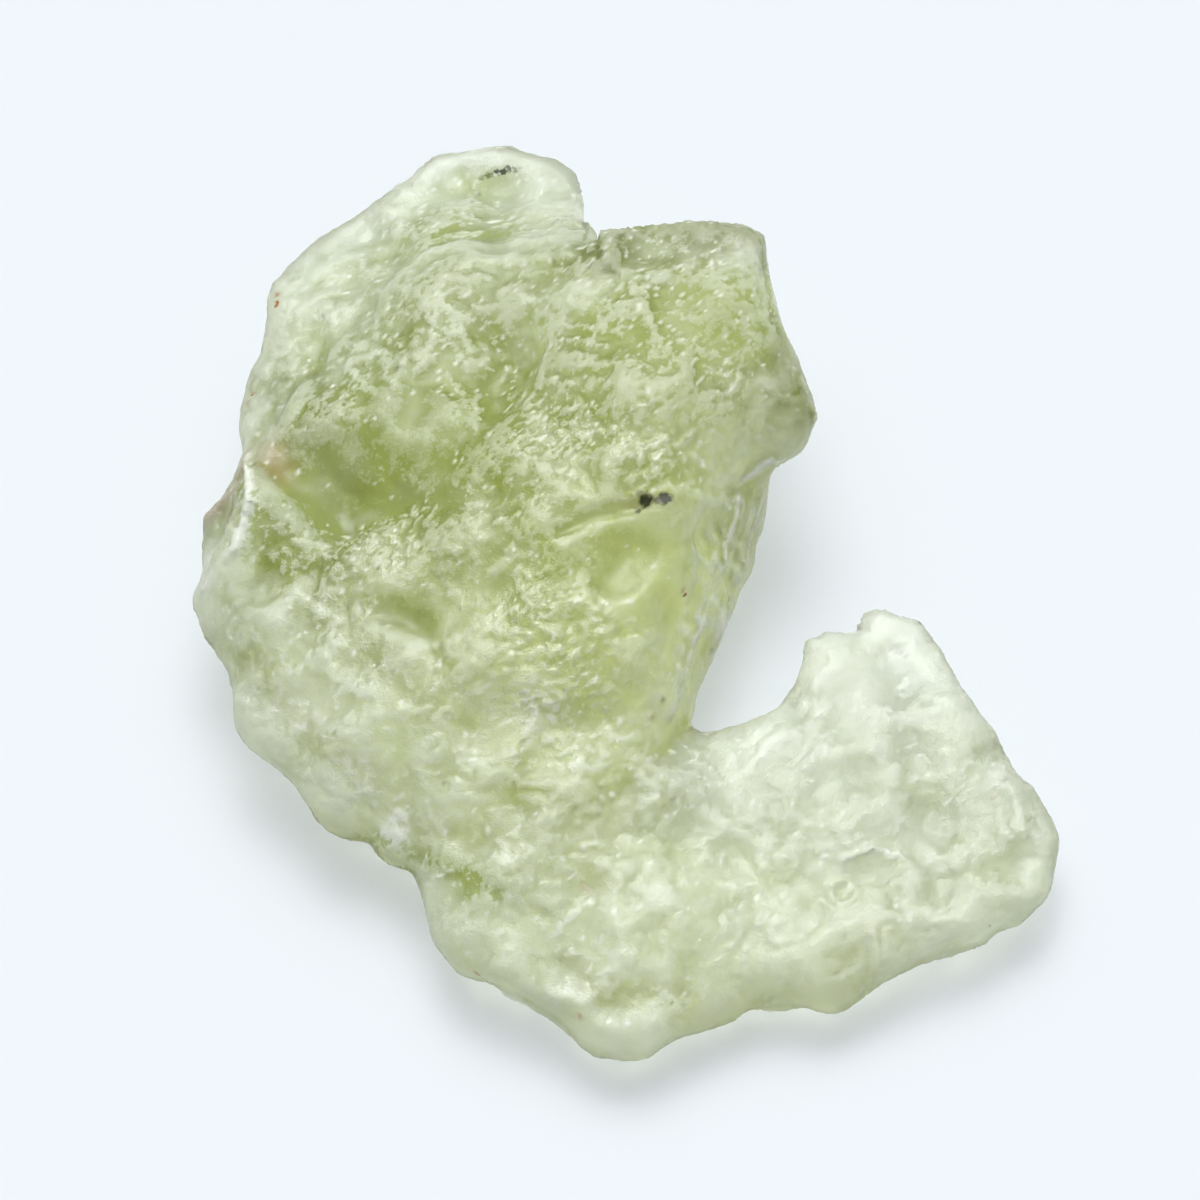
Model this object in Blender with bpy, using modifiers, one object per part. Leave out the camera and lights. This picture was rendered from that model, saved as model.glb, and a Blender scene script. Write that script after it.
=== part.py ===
"""Models one shard of Libyan desert glass, a natural glass, as it lies on a small flat spot of its belly.

The shard is one solid. Its places were judged in one oblique view from the front, so the rim and the
spots on the top are given as seen there, in millimetres across and up the picture plane, each with its
height above the table. They are laid out on the floor plan by the geometry of that view. The belly, which
that view doesn't show, is given on the floor plan itself.
"""

import math

import bmesh
import bpy
import numpy as np
from mathutils import Vector, noise

COLLECTION_NAME = "libyan_desert_glass"
HELPERS_NAME = "helpers"
NODE_NAME = "desert_glass"
MATERIAL_NAME = "pale_green_natural_glass"

MM = 0.001

# The view that the places were judged in: it looks along +Y and down at the table
VIEW_ELEVATION = math.radians(60.0)
VIEW_DISTANCE_MM = 400.0
VIEW_AIM_MM = (-1.2, 2.2)

# The rim, clockwise from the left end of the flange: across, up, height of its middle, thickness
FLANGE_RIM = (
    (-16.65, 15.0, 6.0, 2.6),
    (-16.35, 15.9, 6.1, 2.2),
    (-15.5, 16.8, 6.2, 2.0),
    (-14.5, 17.8, 6.3, 1.9),
    (-12.7, 18.9, 6.4, 1.9),
    (-11.0, 20.2, 6.5, 1.9),
    (-9.4, 21.2, 6.5, 1.9),
    (-8.5, 22.1, 6.6, 2.0),
    (-6.25, 22.6, 6.6, 2.1),
    (-5.0, 22.7, 6.6, 2.2),
    (-3.65, 22.4, 6.6, 2.3),
    (-1.5, 21.6, 6.6, 2.4),
    (-0.9, 20.4, 6.6, 2.6),
    (-0.8, 18.9, 6.9, 3.4),
)
BLOCK_RIM = (
    (-0.5, 18.4, 9.2, 6.4),
    (1.6, 18.6, 9.4, 6.6),
    (3.5, 18.85, 9.6, 6.8),
    (5.25, 19.0, 9.6, 6.8),
    (7.1, 18.85, 9.4, 6.6),
    (8.0, 18.3, 9.2, 6.2),
    (8.4, 17.0, 9.1, 6.0),
    (8.5, 16.0, 9.1, 6.0),
    (9.0, 14.1, 9.0, 5.8),
    (9.85, 11.95, 8.9, 5.2),
    (10.7, 10.0, 8.8, 4.4),
    (10.85, 8.95, 8.7, 3.8),
    (10.2, 7.6, 8.6, 3.0),
    (9.5, 7.0, 8.5, 2.4),
    (8.7, 6.5, 8.2, 2.2),
)
WALL_FOOT_RIM = (
    (8.45, 5.6, 7.2, 2.2),
    (8.35, 4.8, 6.2, 2.2),
    (8.1, 3.4, 5.2, 2.0),
    (7.8, 2.2, 4.7, 1.8),
    (7.5, 1.25, 4.4, 1.8),
    (6.65, -0.5, 4.0, 1.7),
    (6.15, -1.85, 3.9, 1.7),
    (5.45, -3.4, 3.8, 1.8),
    (4.85, -4.6, 3.8, 2.0),
    (4.5, -6.3, 3.8, 2.2),
)
LOBE_RIM = (
    (5.2, -6.65, 3.9, 2.0),
    (7.15, -6.25, 4.0, 1.8),
    (8.9, -5.4, 4.0, 1.7),
    (9.6, -4.5, 4.0, 1.6),
    (10.05, -3.4, 4.0, 1.5),
    (10.2, -2.1, 4.0, 1.5),
    (11.5, -1.6, 4.0, 1.4),
    (12.75, -1.6, 4.0, 1.4),
    (13.45, -0.2, 4.0, 1.3),
    (15.35, -0.95, 3.9, 1.4),
    (16.35, -1.6, 3.8, 1.5),
    (17.0, -2.5, 3.8, 1.6),
    (18.0, -4.25, 3.7, 1.8),
    (19.65, -6.35, 3.5, 2.0),
    (20.25, -7.75, 3.4, 2.1),
    (20.95, -8.75, 3.3, 2.2),
    (21.7, -9.3, 3.2, 2.2),
    (22.8, -11.4, 3.0, 2.3),
    (23.0, -12.1, 3.0, 2.4),
    (22.55, -14.4, 2.9, 2.6),
    (22.1, -15.25, 2.8, 2.6),
    (21.1, -16.2, 2.7, 2.6),
    (19.75, -16.65, 2.7, 2.6),
    (18.45, -17.6, 2.7, 2.5),
    (16.1, -18.2, 2.7, 2.5),
    (14.35, -19.0, 2.7, 2.5),
    (12.15, -20.6, 2.7, 2.5),
    (11.4, -20.75, 2.7, 2.5),
    (10.1, -20.4, 2.7, 2.6),
    (7.85, -20.55, 2.7, 2.7),
)
FRONT_RIM = (
    (6.0, -21.35, 2.7, 2.9),
    (3.45, -22.2, 2.8, 3.0),
    (2.5, -22.9, 2.8, 3.0),
    (1.2, -23.05, 2.8, 3.0),
    (-0.2, -22.9, 2.9, 3.0),
    (-1.45, -21.85, 2.9, 3.0),
    (-3.0, -20.7, 3.0, 3.0),
    (-4.8, -19.8, 3.1, 3.0),
    (-5.5, -19.1, 3.2, 3.0),
    (-6.9, -18.75, 3.3, 3.0),
    (-7.6, -18.05, 3.4, 2.9),
    (-8.45, -16.8, 3.5, 2.8),
    (-8.8, -15.4, 3.6, 2.8),
    (-9.2, -14.0, 3.8, 2.8),
)
LEFT_RIM = (
    (-10.0, -13.4, 3.9, 2.7),
    (-11.1, -12.75, 4.0, 2.6),
    (-11.4, -12.2, 4.1, 2.6),
    (-12.6, -12.0, 4.2, 2.6),
    (-13.7, -11.4, 4.3, 2.6),
    (-15.05, -9.55, 4.5, 2.7),
    (-16.1, -8.45, 4.6, 2.7),
    (-17.65, -7.35, 4.7, 2.7),
    (-18.25, -6.45, 4.8, 2.7),
    (-18.45, -4.5, 5.0, 2.7),
    (-19.45, -2.35, 5.2, 2.6),
    (-20.35, 0.0, 5.4, 2.5),
    (-19.95, 1.05, 5.5, 2.5),
    (-19.85, 2.35, 5.6, 2.4),
    (-19.85, 4.0, 5.7, 2.4),
    (-19.05, 4.9, 5.8, 2.6),
    (-18.2, 6.2, 5.9, 3.0),
    (-17.8, 7.45, 6.0, 3.2),
    (-18.0, 8.8, 6.0, 3.2),
    (-17.4, 11.6, 6.0, 3.0),
    (-16.9, 13.0, 6.0, 2.8),
)
RIM = FLANGE_RIM + BLOCK_RIM + WALL_FOOT_RIM + LOBE_RIM + FRONT_RIM + LEFT_RIM

# Spots on the top: across, up, height
FLANGE_SPOTS = (
    (-15.2, 13.8, 7.6),
    (-12.0, 17.2, 7.6),
    (-8.5, 19.8, 7.7),
    (-5.0, 20.6, 7.8),
    (-2.0, 20.0, 7.9),
)
SHOULDER_SPOTS = (
    (-2.2, 17.9, 11.4),
    (-5.2, 17.4, 10.6),
    (-8.6, 16.6, 10.2),
    (-10.6, 13.4, 10.2),
    (-13.6, 9.8, 9.8),
    (-16.4, 7.6, 8.8),
)
BLOCK_SPOTS = (
    (1.0, 17.6, 12.9),
    (5.0, 17.9, 13.3),
    (7.4, 17.2, 12.8),
    (2.0, 13.6, 13.4),
    (6.0, 13.4, 13.2),
    (8.3, 11.4, 12.2),
    (9.5, 9.6, 10.9),
    (-2.0, 13.6, 12.4),
    (-5.2, 12.2, 10.9),
    (-8.0, 13.2, 10.8),
    (0.2, 9.2, 13.2),
    (4.2, 9.0, 13.0),
    (7.0, 8.2, 11.2),
    (-4.0, 8.6, 11.8),
    (-7.5, 8.8, 10.9),
    (-11.0, 8.8, 10.3),
)
MIDDLE_SPOTS = (
    (0.2, 5.6, 12.6),
    (3.8, 6.2, 12.0),
    (5.4, 4.6, 10.4),
    (2.0, 2.8, 11.0),
    (4.3, 1.0, 9.8),
    (-0.4, 1.6, 11.0),
    (-3.4, 3.2, 11.2),
    (-7.0, 5.0, 10.4),
    (-10.4, 6.0, 9.6),
    (-13.6, 4.2, 8.9),
    (-17.2, 4.4, 8.6),
    (-10.0, 1.6, 9.6),
    (-15.0, 0.6, 8.8),
    (-13.0, -1.6, 8.9),
    (-9.0, -0.6, 9.5),
    (-5.0, -1.2, 10.0),
    (-1.0, -2.2, 10.0),
    (3.4, -2.4, 8.4),
)
FRONT_SPOTS = (
    (2.9, -5.0, 6.9),
    (-1.0, -5.6, 8.5),
    (-5.0, -5.2, 8.7),
    (-10.0, -5.2, 8.5),
    (-14.0, -4.4, 8.0),
    (-17.2, -4.8, 6.6),
    (-14.0, -8.4, 6.8),
    (-10.0, -9.6, 7.0),
    (-6.0, -10.0, 7.3),
    (-2.0, -9.6, 7.1),
    (2.0, -9.2, 6.3),
    (-6.6, -14.0, 5.9),
    (-2.4, -14.0, 6.1),
    (2.0, -14.0, 5.7),
    (-4.6, -17.6, 4.9),
    (1.0, -19.8, 4.8),
    (5.2, -18.6, 4.6),
)
LOBE_SPOTS = (
    (6.2, -8.4, 5.5),
    (6.0, -12.6, 5.3),
    (9.6, -7.2, 5.0),
    (10.0, -11.4, 5.0),
    (9.6, -16.2, 4.6),
    (13.2, -4.6, 4.8),
    (16.0, -6.4, 4.8),
    (14.0, -9.8, 4.8),
    (14.2, -14.2, 4.5),
    (18.4, -10.6, 4.4),
    (19.6, -14.0, 4.1),
)
TOP_SPOTS = FLANGE_SPOTS + SHOULDER_SPOTS + BLOCK_SPOTS + MIDDLE_SPOTS + FRONT_SPOTS + LOBE_SPOTS

# Spots on the belly, on the floor plan: x, y, height
BELLY_SPOTS = (
    (-2.0, -1.5, -0.6),
    (-5.5, 1.5, -0.1),
    (1.5, -4.5, -0.1),
    (-9.0, 6.0, 1.3),
    (-14.0, 2.0, 2.9),
    (-8.0, -7.0, 1.2),
    (-12.0, -3.0, 2.0),
    (-2.0, 9.0, 0.9),
    (-6.0, 15.0, 3.4),
    (4.5, 9.0, 2.3),
    (5.0, 2.5, 1.4),
    (-1.0, -12.0, 0.5),
    (-2.0, -20.0, 0.9),
    (5.0, -13.0, 0.8),
    (10.0, -18.0, 1.0),
    (13.0, -9.0, 2.1),
    (17.0, -13.0, 1.4),
)

# Steps on the top: a line of spots across and up, how far the side to its left drops, and its width
STEPS = {
    "flange_foot": (
        ((-0.9, 18.3), (-5.0, 18.3), (-8.6, 17.8), (-11.2, 14.6), (-13.8, 11.6), (-17.0, 8.6)),
        -0.5,
        1.2,
    ),
    "block_front": (((-3.4, 2.6), (-0.6, 3.9), (2.0, 4.6), (5.4, 5.5), (7.4, 5.9)), 0.55, 0.9),
    "curved_ledge": (((2.6, 16.0), (2.9, 14.6), (2.2, 13.4), (0.6, 12.8)), 0.3, 0.7),
}

# Ridges on the top: a line of spots across and up, height, half width
RIDGES = {
    "left_fold": (((-17.7, 7.6), (-17.4, 5.2), (-18.1, 2.6), (-19.4, 0.4)), 0.9, 0.9),
    "block_lip": (((7.2, 5.7), (8.3, 6.7), (9.9, 7.3)), 0.5, 0.8),
    "wave_far": (((-7.2, 17.6), (-4.4, 16.8), (-1.4, 17.2), (1.6, 16.9)), 0.35, 0.7),
    "wave_near": (((-7.0, 15.8), (-4.0, 15.0), (-1.2, 15.4), (1.6, 14.6)), 0.35, 0.7),
    "lobe_crease": (((6.6, -8.8), (7.9, -7.2), (9.0, -6.4)), 0.3, 0.7),
}

# Hollows on the top: across, up, half length, half width, turn in degrees, depth
HOLLOWS = {
    "green_bowl": (-12.6, 5.4, 5.0, 2.6, -12.0, 0.8),
    "fold_face": (-18.9, 3.9, 1.8, 1.0, 70.0, 0.8),
    "dark_valley": (-4.6, 11.0, 4.2, 1.5, 70.0, 0.8),
    "crescent": (-9.6, -0.9, 2.4, 1.1, -35.0, 0.6),
    "smooth_slope": (1.6, 1.6, 3.6, 2.0, 10.0, 0.4),
    "front_dip": (-2.0, -16.0, 2.6, 4.0, -15.0, 0.5),
    "left_dip": (-13.4, -4.2, 3.4, 1.8, 20.0, 0.4),
    "lobe_bowl": (12.4, -14.2, 3.2, 2.2, 5.0, 0.35),
    "tip_bowl": (13.8, -4.2, 2.8, 2.0, 40.0, 0.3),
}

SPOT_SOFTNESS_MM = 1.4
SETTLING_START_MM = 8.0
SETTLING_ROUNDS = 20
OUTLINE_MERGE_MM = 0.01
SLAB_THICKNESS_MM = 4.0
SLAB_VOXEL_MM = 0.5
SLAB_SMOOTH_ROUNDS = 1
BODY_VOXEL_MM = 0.36
BODY_SMOOTH_ROUNDS = 2
LAST_SMOOTH_ROUNDS = 2
SMOOTH_FACTOR = 0.5
LEAST_THICKNESS_MM = 0.8
RIM_ROUNDING_MM = 0.9
RIM_SPARE_MM = 0.14
RIM_STEEP_SHARE = 0.4
STEP_FADE = 4.0
FACING_UP_FROM = 0.05
FACING_UP_REACH = 0.4
LUMP_SIZE_MM = 4.2
LUMP_HEIGHT_MM = 0.7
DIMPLE_SIZE_MM = 2.3
DIMPLE_DEPTH_MM = 0.5
DIMPLE_WIDENING = 2.0
RIM_RELIEF_SHARE = 0.4
WALL_FROM_MM = 3.5
WALL_WAVE_SIZE_MM = 4.0
WALL_WAVE_HEIGHT_MM = 1.8
TRIANGLES = 8600
REST_CUTTER_MM = 80.0

GLASS_COLOUR = (0.62, 0.68, 0.38, 1.0)
GLASS_ROUGHNESS = 0.3
GLASS_IOR = 1.46
GLASS_CLARITY = 0.9


def clear_scene():
    """Removes every object that the scene holds."""
    for thing in list(bpy.data.objects):
        bpy.data.objects.remove(thing, do_unlink=True)


def new_collection(name):
    """Adds an empty collection to the scene."""
    collection = bpy.data.collections.new(name)
    bpy.context.scene.collection.children.link(collection)
    return collection


def lay_out(across, up, height):
    """Gives the place on the floor plan of a point seen at across and up, at a known height, in mm."""
    away, down = math.cos(VIEW_ELEVATION), math.sin(VIEW_ELEVATION)
    eye_y = VIEW_AIM_MM[1] - VIEW_DISTANCE_MM * away
    eye_z = VIEW_DISTANCE_MM * down
    reach = (eye_z - height) / (VIEW_DISTANCE_MM * down - up * away)
    return VIEW_AIM_MM[0] + reach * across, eye_y + reach * (VIEW_DISTANCE_MM * away + up * down)


class Surface:
    """A smooth height over the floor plan that passes through given spots."""

    def __init__(self, spots):
        self.places = np.array([spot[:2] for spot in spots])
        heights = np.array([spot[2] for spot in spots])
        count = len(spots)
        flat = np.column_stack((np.ones(count), self.places))
        system = np.zeros((count + 3, count + 3))
        system[:count, :count] = self.kernel(self.places)
        system[:count, count:] = flat
        system[count:, :count] = flat.T
        self.weights = np.linalg.solve(system, np.append(heights, (0.0, 0.0, 0.0)))

    def kernel(self, places):
        """Gives the softened distance from each place to each spot."""
        gaps = places[:, None, :] - self.places[None, :, :]
        return -np.sqrt((gaps**2).sum(axis=2) + SPOT_SOFTNESS_MM**2)

    def __call__(self, places):
        """Gives the height over each place."""
        flat = np.column_stack((np.ones(len(places)), places))
        return np.hstack((self.kernel(places), flat)) @ self.weights


def line_distance(places, line):
    """Gives each place's distance to an open line, which side it is on, and how far along it is."""
    best = np.full(len(places), np.inf)
    side = np.zeros(len(places))
    along = np.zeros(len(places))
    pieces = len(line) - 1
    for index in range(pieces):
        start = np.array(line[index])
        run = np.array(line[index + 1]) - start
        offset = places - start
        share = np.clip(offset @ run / (run @ run), 0.0, 1.0)
        gap = np.linalg.norm(offset - share[:, None] * run, axis=1)
        nearer = gap < best
        turn = run[0] * offset[:, 1] - run[1] * offset[:, 0]
        best = np.where(nearer, gap, best)
        side = np.where(nearer, np.sign(turn), side)
        along = np.where(nearer, (index + share) / pieces, along)
    return best, side, along


def smooth_step(values):
    """Eases values from 0 to 1."""
    eased = np.clip(values, 0.0, 1.0)
    return eased * eased * (3.0 - 2.0 * eased)


def rim_points():
    """Lays out the rim on the floor plan: x, y, height of the top edge, height of the under edge.

    Where the rim faces away from the viewer its top edge is the one that shows, and where it faces the
    viewer its under edge is.
    """
    points = []
    for index, (across, up, middle, thickness) in enumerate(RIM):
        before = RIM[index - 1]
        after = RIM[(index + 1) % len(RIM)]
        run = Vector((after[0] - before[0], after[1] - before[1])).normalized()
        facing_away = run.x
        x, y = lay_out(across, up, middle + facing_away * thickness / 2)
        x -= run.y * RIM_SPARE_MM
        y += run.x * RIM_SPARE_MM
        points.append((x, y, middle + thickness / 2, middle - thickness / 2))
    return points


def top_surface(rim):
    """Makes the smooth top through the rim's top edge and the spots."""
    spots = [(x, y, top) for x, y, top, _ in rim]
    spots += [(*lay_out(across, up, height), height) for across, up, height in TOP_SPOTS]
    return Surface(spots)


def belly_surface(rim):
    """Makes the smooth belly through the rim's under edge and the spots."""
    return Surface([(x, y, under) for x, y, _, under in rim] + list(BELLY_SPOTS))


def on_top(line, top):
    """Lays out a line that is seen on the top, by settling on the height there."""
    placed = []
    for across, up in line:
        height = SETTLING_START_MM
        for _ in range(SETTLING_ROUNDS):
            x, y = lay_out(across, up, height)
            height = (height + float(top(np.array([[x, y]]))[0])) / 2
        placed.append((x, y))
    return placed


def evaluated_copy(thing):
    """Gives a new mesh of an object as its modifiers leave it."""
    bpy.context.view_layer.update()
    graph = bpy.context.evaluated_depsgraph_get()
    return bpy.data.meshes.new_from_object(thing.evaluated_get(graph))


def settle(thing):
    """Applies an object's modifiers to its mesh."""
    mesh = evaluated_copy(thing)
    thing.modifiers.clear()
    old = thing.data
    thing.data = mesh
    bpy.data.meshes.remove(old)


def make_slab(rim, collection):
    """Makes a flat slab of the rim's outline, from a filled curve."""
    curve = bpy.data.curves.new(NODE_NAME + "_outline", "CURVE")
    curve.dimensions = "2D"
    curve.fill_mode = "BOTH"
    curve.extrude = SLAB_THICKNESS_MM / 2 * MM
    spline = curve.splines.new("POLY")
    spline.points.add(len(rim) - 1)
    for point, (x, y, _, _) in zip(spline.points, rim):
        point.co = (x * MM, y * MM, 0.0, 1.0)
    spline.use_cyclic_u = True
    drawn = bpy.data.objects.new(NODE_NAME + "_outline", curve)
    collection.objects.link(drawn)
    mesh = evaluated_copy(drawn)
    bpy.data.objects.remove(drawn, do_unlink=True)
    shape = bmesh.new()
    shape.from_mesh(mesh)
    bmesh.ops.remove_doubles(shape, verts=shape.verts, dist=OUTLINE_MERGE_MM * MM)
    bmesh.ops.recalc_face_normals(shape, faces=shape.faces)
    shape.to_mesh(mesh)
    shape.free()
    mesh.name = NODE_NAME
    slab = bpy.data.objects.new(NODE_NAME, mesh)
    collection.objects.link(slab)
    return slab


def remesh(thing, voxel_mm, smooth_rounds):
    """Gives an object an even mesh, and takes the voxels' stairs out of it."""
    even = thing.modifiers.new("even_mesh", "REMESH")
    even.mode = "VOXEL"
    even.voxel_size = voxel_mm * MM
    soft = thing.modifiers.new("soften", "SMOOTH")
    soft.factor = SMOOTH_FACTOR
    soft.iterations = smooth_rounds
    settle(thing)


def read_places(mesh):
    """Gives a mesh's vertices in mm, one row each."""
    flat = np.empty(len(mesh.vertices) * 3)
    mesh.vertices.foreach_get("co", flat)
    return flat.reshape(-1, 3) / MM


def write_places(mesh, places):
    """Moves a mesh's vertices to places in mm."""
    mesh.vertices.foreach_set("co", (places * MM).ravel())
    mesh.update()


def read_normals(mesh):
    """Gives a mesh's vertex normals, one row each."""
    flat = np.empty(len(mesh.vertices) * 3)
    mesh.vertices.foreach_get("normal", flat)
    return flat.reshape(-1, 3)


def bend_slab(slab, rim, top, belly):
    """Bends the slab so that its faces become the top and the belly, and rounds its rim."""
    places = read_places(slab.data)
    plan = places[:, :2]
    loop = [point[:2] for point in rim] + [rim[0][:2]]
    inward, _, _ = line_distance(plan, loop)
    upper = top(plan)
    lower = belly(plan)
    middle = (upper + lower) / 2
    half = np.maximum(upper - lower, LEAST_THICKNESS_MM) / 2
    turn = 1.0 - np.clip(inward / RIM_ROUNDING_MM, 0.0, 1.0)
    rounding = np.sqrt(1.0 - turn**2)
    half = half * (RIM_STEEP_SHARE + (1.0 - RIM_STEEP_SHARE) * rounding)
    level = np.clip(places[:, 2] / (SLAB_THICKNESS_MM / 2), -1.0, 1.0)
    places[:, 2] = middle + half * level
    write_places(slab.data, places)


def add_local_relief(shard, top):
    """Raises and lowers the top along its steps and ridges and in its hollows."""
    places = read_places(shard.data)
    plan = places[:, :2]
    facing_up = smooth_step((read_normals(shard.data)[:, 2] - FACING_UP_FROM) / FACING_UP_REACH)
    change = np.zeros(len(places))
    for line, drop, width in STEPS.values():
        gap, side, along = line_distance(plan, on_top(line, top))
        ends = np.sin(np.pi * along) ** 0.5
        rise = smooth_step(0.5 - side * gap / width)
        fade = np.exp(-((gap / (STEP_FADE * width)) ** 2))
        change += (rise - 0.5) * drop * fade * ends
    for line, height, width in RIDGES.values():
        gap, _, along = line_distance(plan, on_top(line, top))
        change += height * np.exp(-((gap / width) ** 2)) * np.sin(np.pi * along) ** 0.5
    for across, up, length, width, turn, depth in HOLLOWS.values():
        offset = plan - np.array(on_top([(across, up)], top)[0])
        angle = math.radians(turn)
        forward = (offset[:, 0] * math.cos(angle) + offset[:, 1] * math.sin(angle)) / length
        sideways = (offset[:, 1] * math.cos(angle) - offset[:, 0] * math.sin(angle)) / width
        change -= depth * smooth_step(1.0 - forward**2 - sideways**2)
    places[:, 2] += change * facing_up
    write_places(shard.data, places)


def add_lumps_and_dimples(shard, top, belly):
    """Gives the whole skin its broad lumps and the scalloped dimples that wind and sand leave.

    Dimples are weaker on the rim, which keeps its outline, and the tall walls of the block get broad
    waves of their own, as a broken face has.
    """
    places = read_places(shard.data)
    normals = read_normals(shard.data)
    flatness = np.abs(normals[:, 2])
    strength = RIM_RELIEF_SHARE + (1.0 - RIM_RELIEF_SHARE) * flatness
    plan = places[:, :2]
    tall = smooth_step((top(plan) - belly(plan) - WALL_FROM_MM) / WALL_FROM_MM) * (1.0 - flatness)
    change = np.empty(len(places))
    for index, (x, y, z) in enumerate(places):
        lump = noise.noise(Vector((x, y, z)) / LUMP_SIZE_MM)
        wave = noise.noise(Vector((x + y, z, x - y)) / WALL_WAVE_SIZE_MM)
        to_centre = noise.voronoi(Vector((x, y, z)) / DIMPLE_SIZE_MM)[0][0]
        bowl = min(DIMPLE_WIDENING * to_centre * to_centre, 1.0) - 0.5
        change[index] = (LUMP_HEIGHT_MM * lump + DIMPLE_DEPTH_MM * bowl) * strength[index]
        change[index] += WALL_WAVE_HEIGHT_MM * wave * tall[index]
    write_places(shard.data, places + normals * change[:, None])


def cut_rest_spot(shard, helpers):
    """Cuts the belly flat at the table, where the shard rests."""
    bpy.ops.mesh.primitive_cube_add(size=REST_CUTTER_MM * MM)
    cutter = bpy.context.object
    cutter.name = "table_cutter"
    cutter.location.z = -REST_CUTTER_MM / 2 * MM
    for owner in list(cutter.users_collection):
        owner.objects.unlink(cutter)
    helpers.objects.link(cutter)
    cutter.hide_render = True
    cutter.display_type = "WIRE"
    cut = shard.modifiers.new("rest_spot", "BOOLEAN")
    cut.operation = "DIFFERENCE"
    cut.solver = "EXACT"
    cut.object = cutter


def thin_out(shard):
    """Reduces the mesh to the triangles that the form needs."""
    soft = shard.modifiers.new("soften", "SMOOTH")
    soft.factor = SMOOTH_FACTOR
    soft.iterations = LAST_SMOOTH_ROUNDS
    shard.data.calc_loop_triangles()
    fewer = shard.modifiers.new("thin_out", "DECIMATE")
    fewer.ratio = TRIANGLES / len(shard.data.loop_triangles)
    fewer.use_collapse_triangulate = True
    settle(shard)


def glass_material():
    """Makes the pale yellow-green of the natural glass."""
    material = bpy.data.materials.new(MATERIAL_NAME)
    material.use_nodes = True
    shader = material.node_tree.nodes["Principled BSDF"]
    shader.inputs["Base Color"].default_value = GLASS_COLOUR
    shader.inputs["Roughness"].default_value = GLASS_ROUGHNESS
    shader.inputs["Metallic"].default_value = 0.0
    shader.inputs["IOR"].default_value = GLASS_IOR
    shader.inputs["Transmission Weight"].default_value = GLASS_CLARITY
    material.diffuse_color = GLASS_COLOUR
    return material


def main():
    """Builds the shard."""
    clear_scene()
    collection = new_collection(COLLECTION_NAME)
    helpers = new_collection(HELPERS_NAME)
    rim = rim_points()
    top = top_surface(rim)
    belly = belly_surface(rim)
    shard = make_slab(rim, collection)
    remesh(shard, SLAB_VOXEL_MM, SLAB_SMOOTH_ROUNDS)
    bend_slab(shard, rim, top, belly)
    remesh(shard, BODY_VOXEL_MM, BODY_SMOOTH_ROUNDS)
    add_local_relief(shard, top)
    add_lumps_and_dimples(shard, top, belly)
    thin_out(shard)
    cut_rest_spot(shard, helpers)
    shard.data.materials.append(glass_material())
    shard.data.shade_smooth()


main()
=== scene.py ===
"""The look of the desert glass shard: its wind-worn skin, its see-through body and the pale table."""

import logging
import math
from dataclasses import dataclass, field
from enum import Enum

import bpy
import numpy as np
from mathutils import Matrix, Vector
from mathutils.bvhtree import BVHTree


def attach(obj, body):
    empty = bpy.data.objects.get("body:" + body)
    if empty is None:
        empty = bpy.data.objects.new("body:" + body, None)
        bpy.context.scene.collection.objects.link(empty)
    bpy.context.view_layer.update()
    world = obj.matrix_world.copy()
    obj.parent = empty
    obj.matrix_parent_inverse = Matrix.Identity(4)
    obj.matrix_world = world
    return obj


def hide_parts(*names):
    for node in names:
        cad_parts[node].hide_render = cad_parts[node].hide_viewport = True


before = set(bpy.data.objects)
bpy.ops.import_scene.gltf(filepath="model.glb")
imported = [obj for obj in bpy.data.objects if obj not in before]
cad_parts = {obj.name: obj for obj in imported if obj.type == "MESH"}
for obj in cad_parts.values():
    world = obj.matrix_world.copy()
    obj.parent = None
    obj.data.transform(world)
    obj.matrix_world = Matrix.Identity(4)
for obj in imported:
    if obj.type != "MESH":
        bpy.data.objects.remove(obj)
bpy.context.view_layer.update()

MM = 0.001
CAD_NODE = "desert_glass"
BODY = "root"

# A grain of at least this radius, in millimetres, is drawn by the material. The mesh keeps smaller ones.
CRISP_GRAIN = 0.15
# How deep an ellipse reaches into the shard at the least, in millimetres.
LEAST_DEPTH = 1.2
# How many points of the skin are measured against the outline in one go.
CHUNK = 4000
# Farther than anything that is measured.
FAR = 1e9

log = logging.getLogger("desert_glass")

Spot = tuple[float, float]
Colour = tuple[float, float, float]


class Weather(Enum):
    """How the desert wore one stretch of the skin."""

    DIMPLED = "shallow dimples with soft rims"
    SMOOTH = "worn smooth, so the green body shows"
    # The pits' sparkle is painted: white specks in the colour that stand in for glints.
    PITTED = "small sharp pits that sparkle"
    WRINKLED = "ripples that run across the block"
    STREAKED = "grooves that run down a steep wall"
    MILKY = "frosted nearly white"
    CLEAR = "thin and clear"
    MATT = "evenly worn, with fine wrinkles"


class Stain(Enum):
    """What coloured one soft patch of the skin."""

    DEEP = "the deep green of the thickest glass"
    RUST = "iron brown"
    PINK = "pinkish clay"
    OLIVE = "deeper olive glass seen along the rim"
    # This stain is chalky haze, and it also paints highlights along the left ridge and the lip.
    HAZE_AND_HIGHLIGHT = "white chalky haze"


class Fleck(Enum):
    """What one small hard mark is made of."""

    SOOT = "nearly black grain"
    IRON = "orange-brown iron grain"
    GREY = "grey mineral grain"


# Clouds that are added to two of the stains: their strength, their size, and where in the noise each lies.
CLOUD_STRENGTH = 0.40
CLOUD_SIZE = 2.4
CLOUD_SHIFT = {Stain.DEEP: 21.0, Stain.HAZE_AND_HIGHLIGHT: 47.0}


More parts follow.
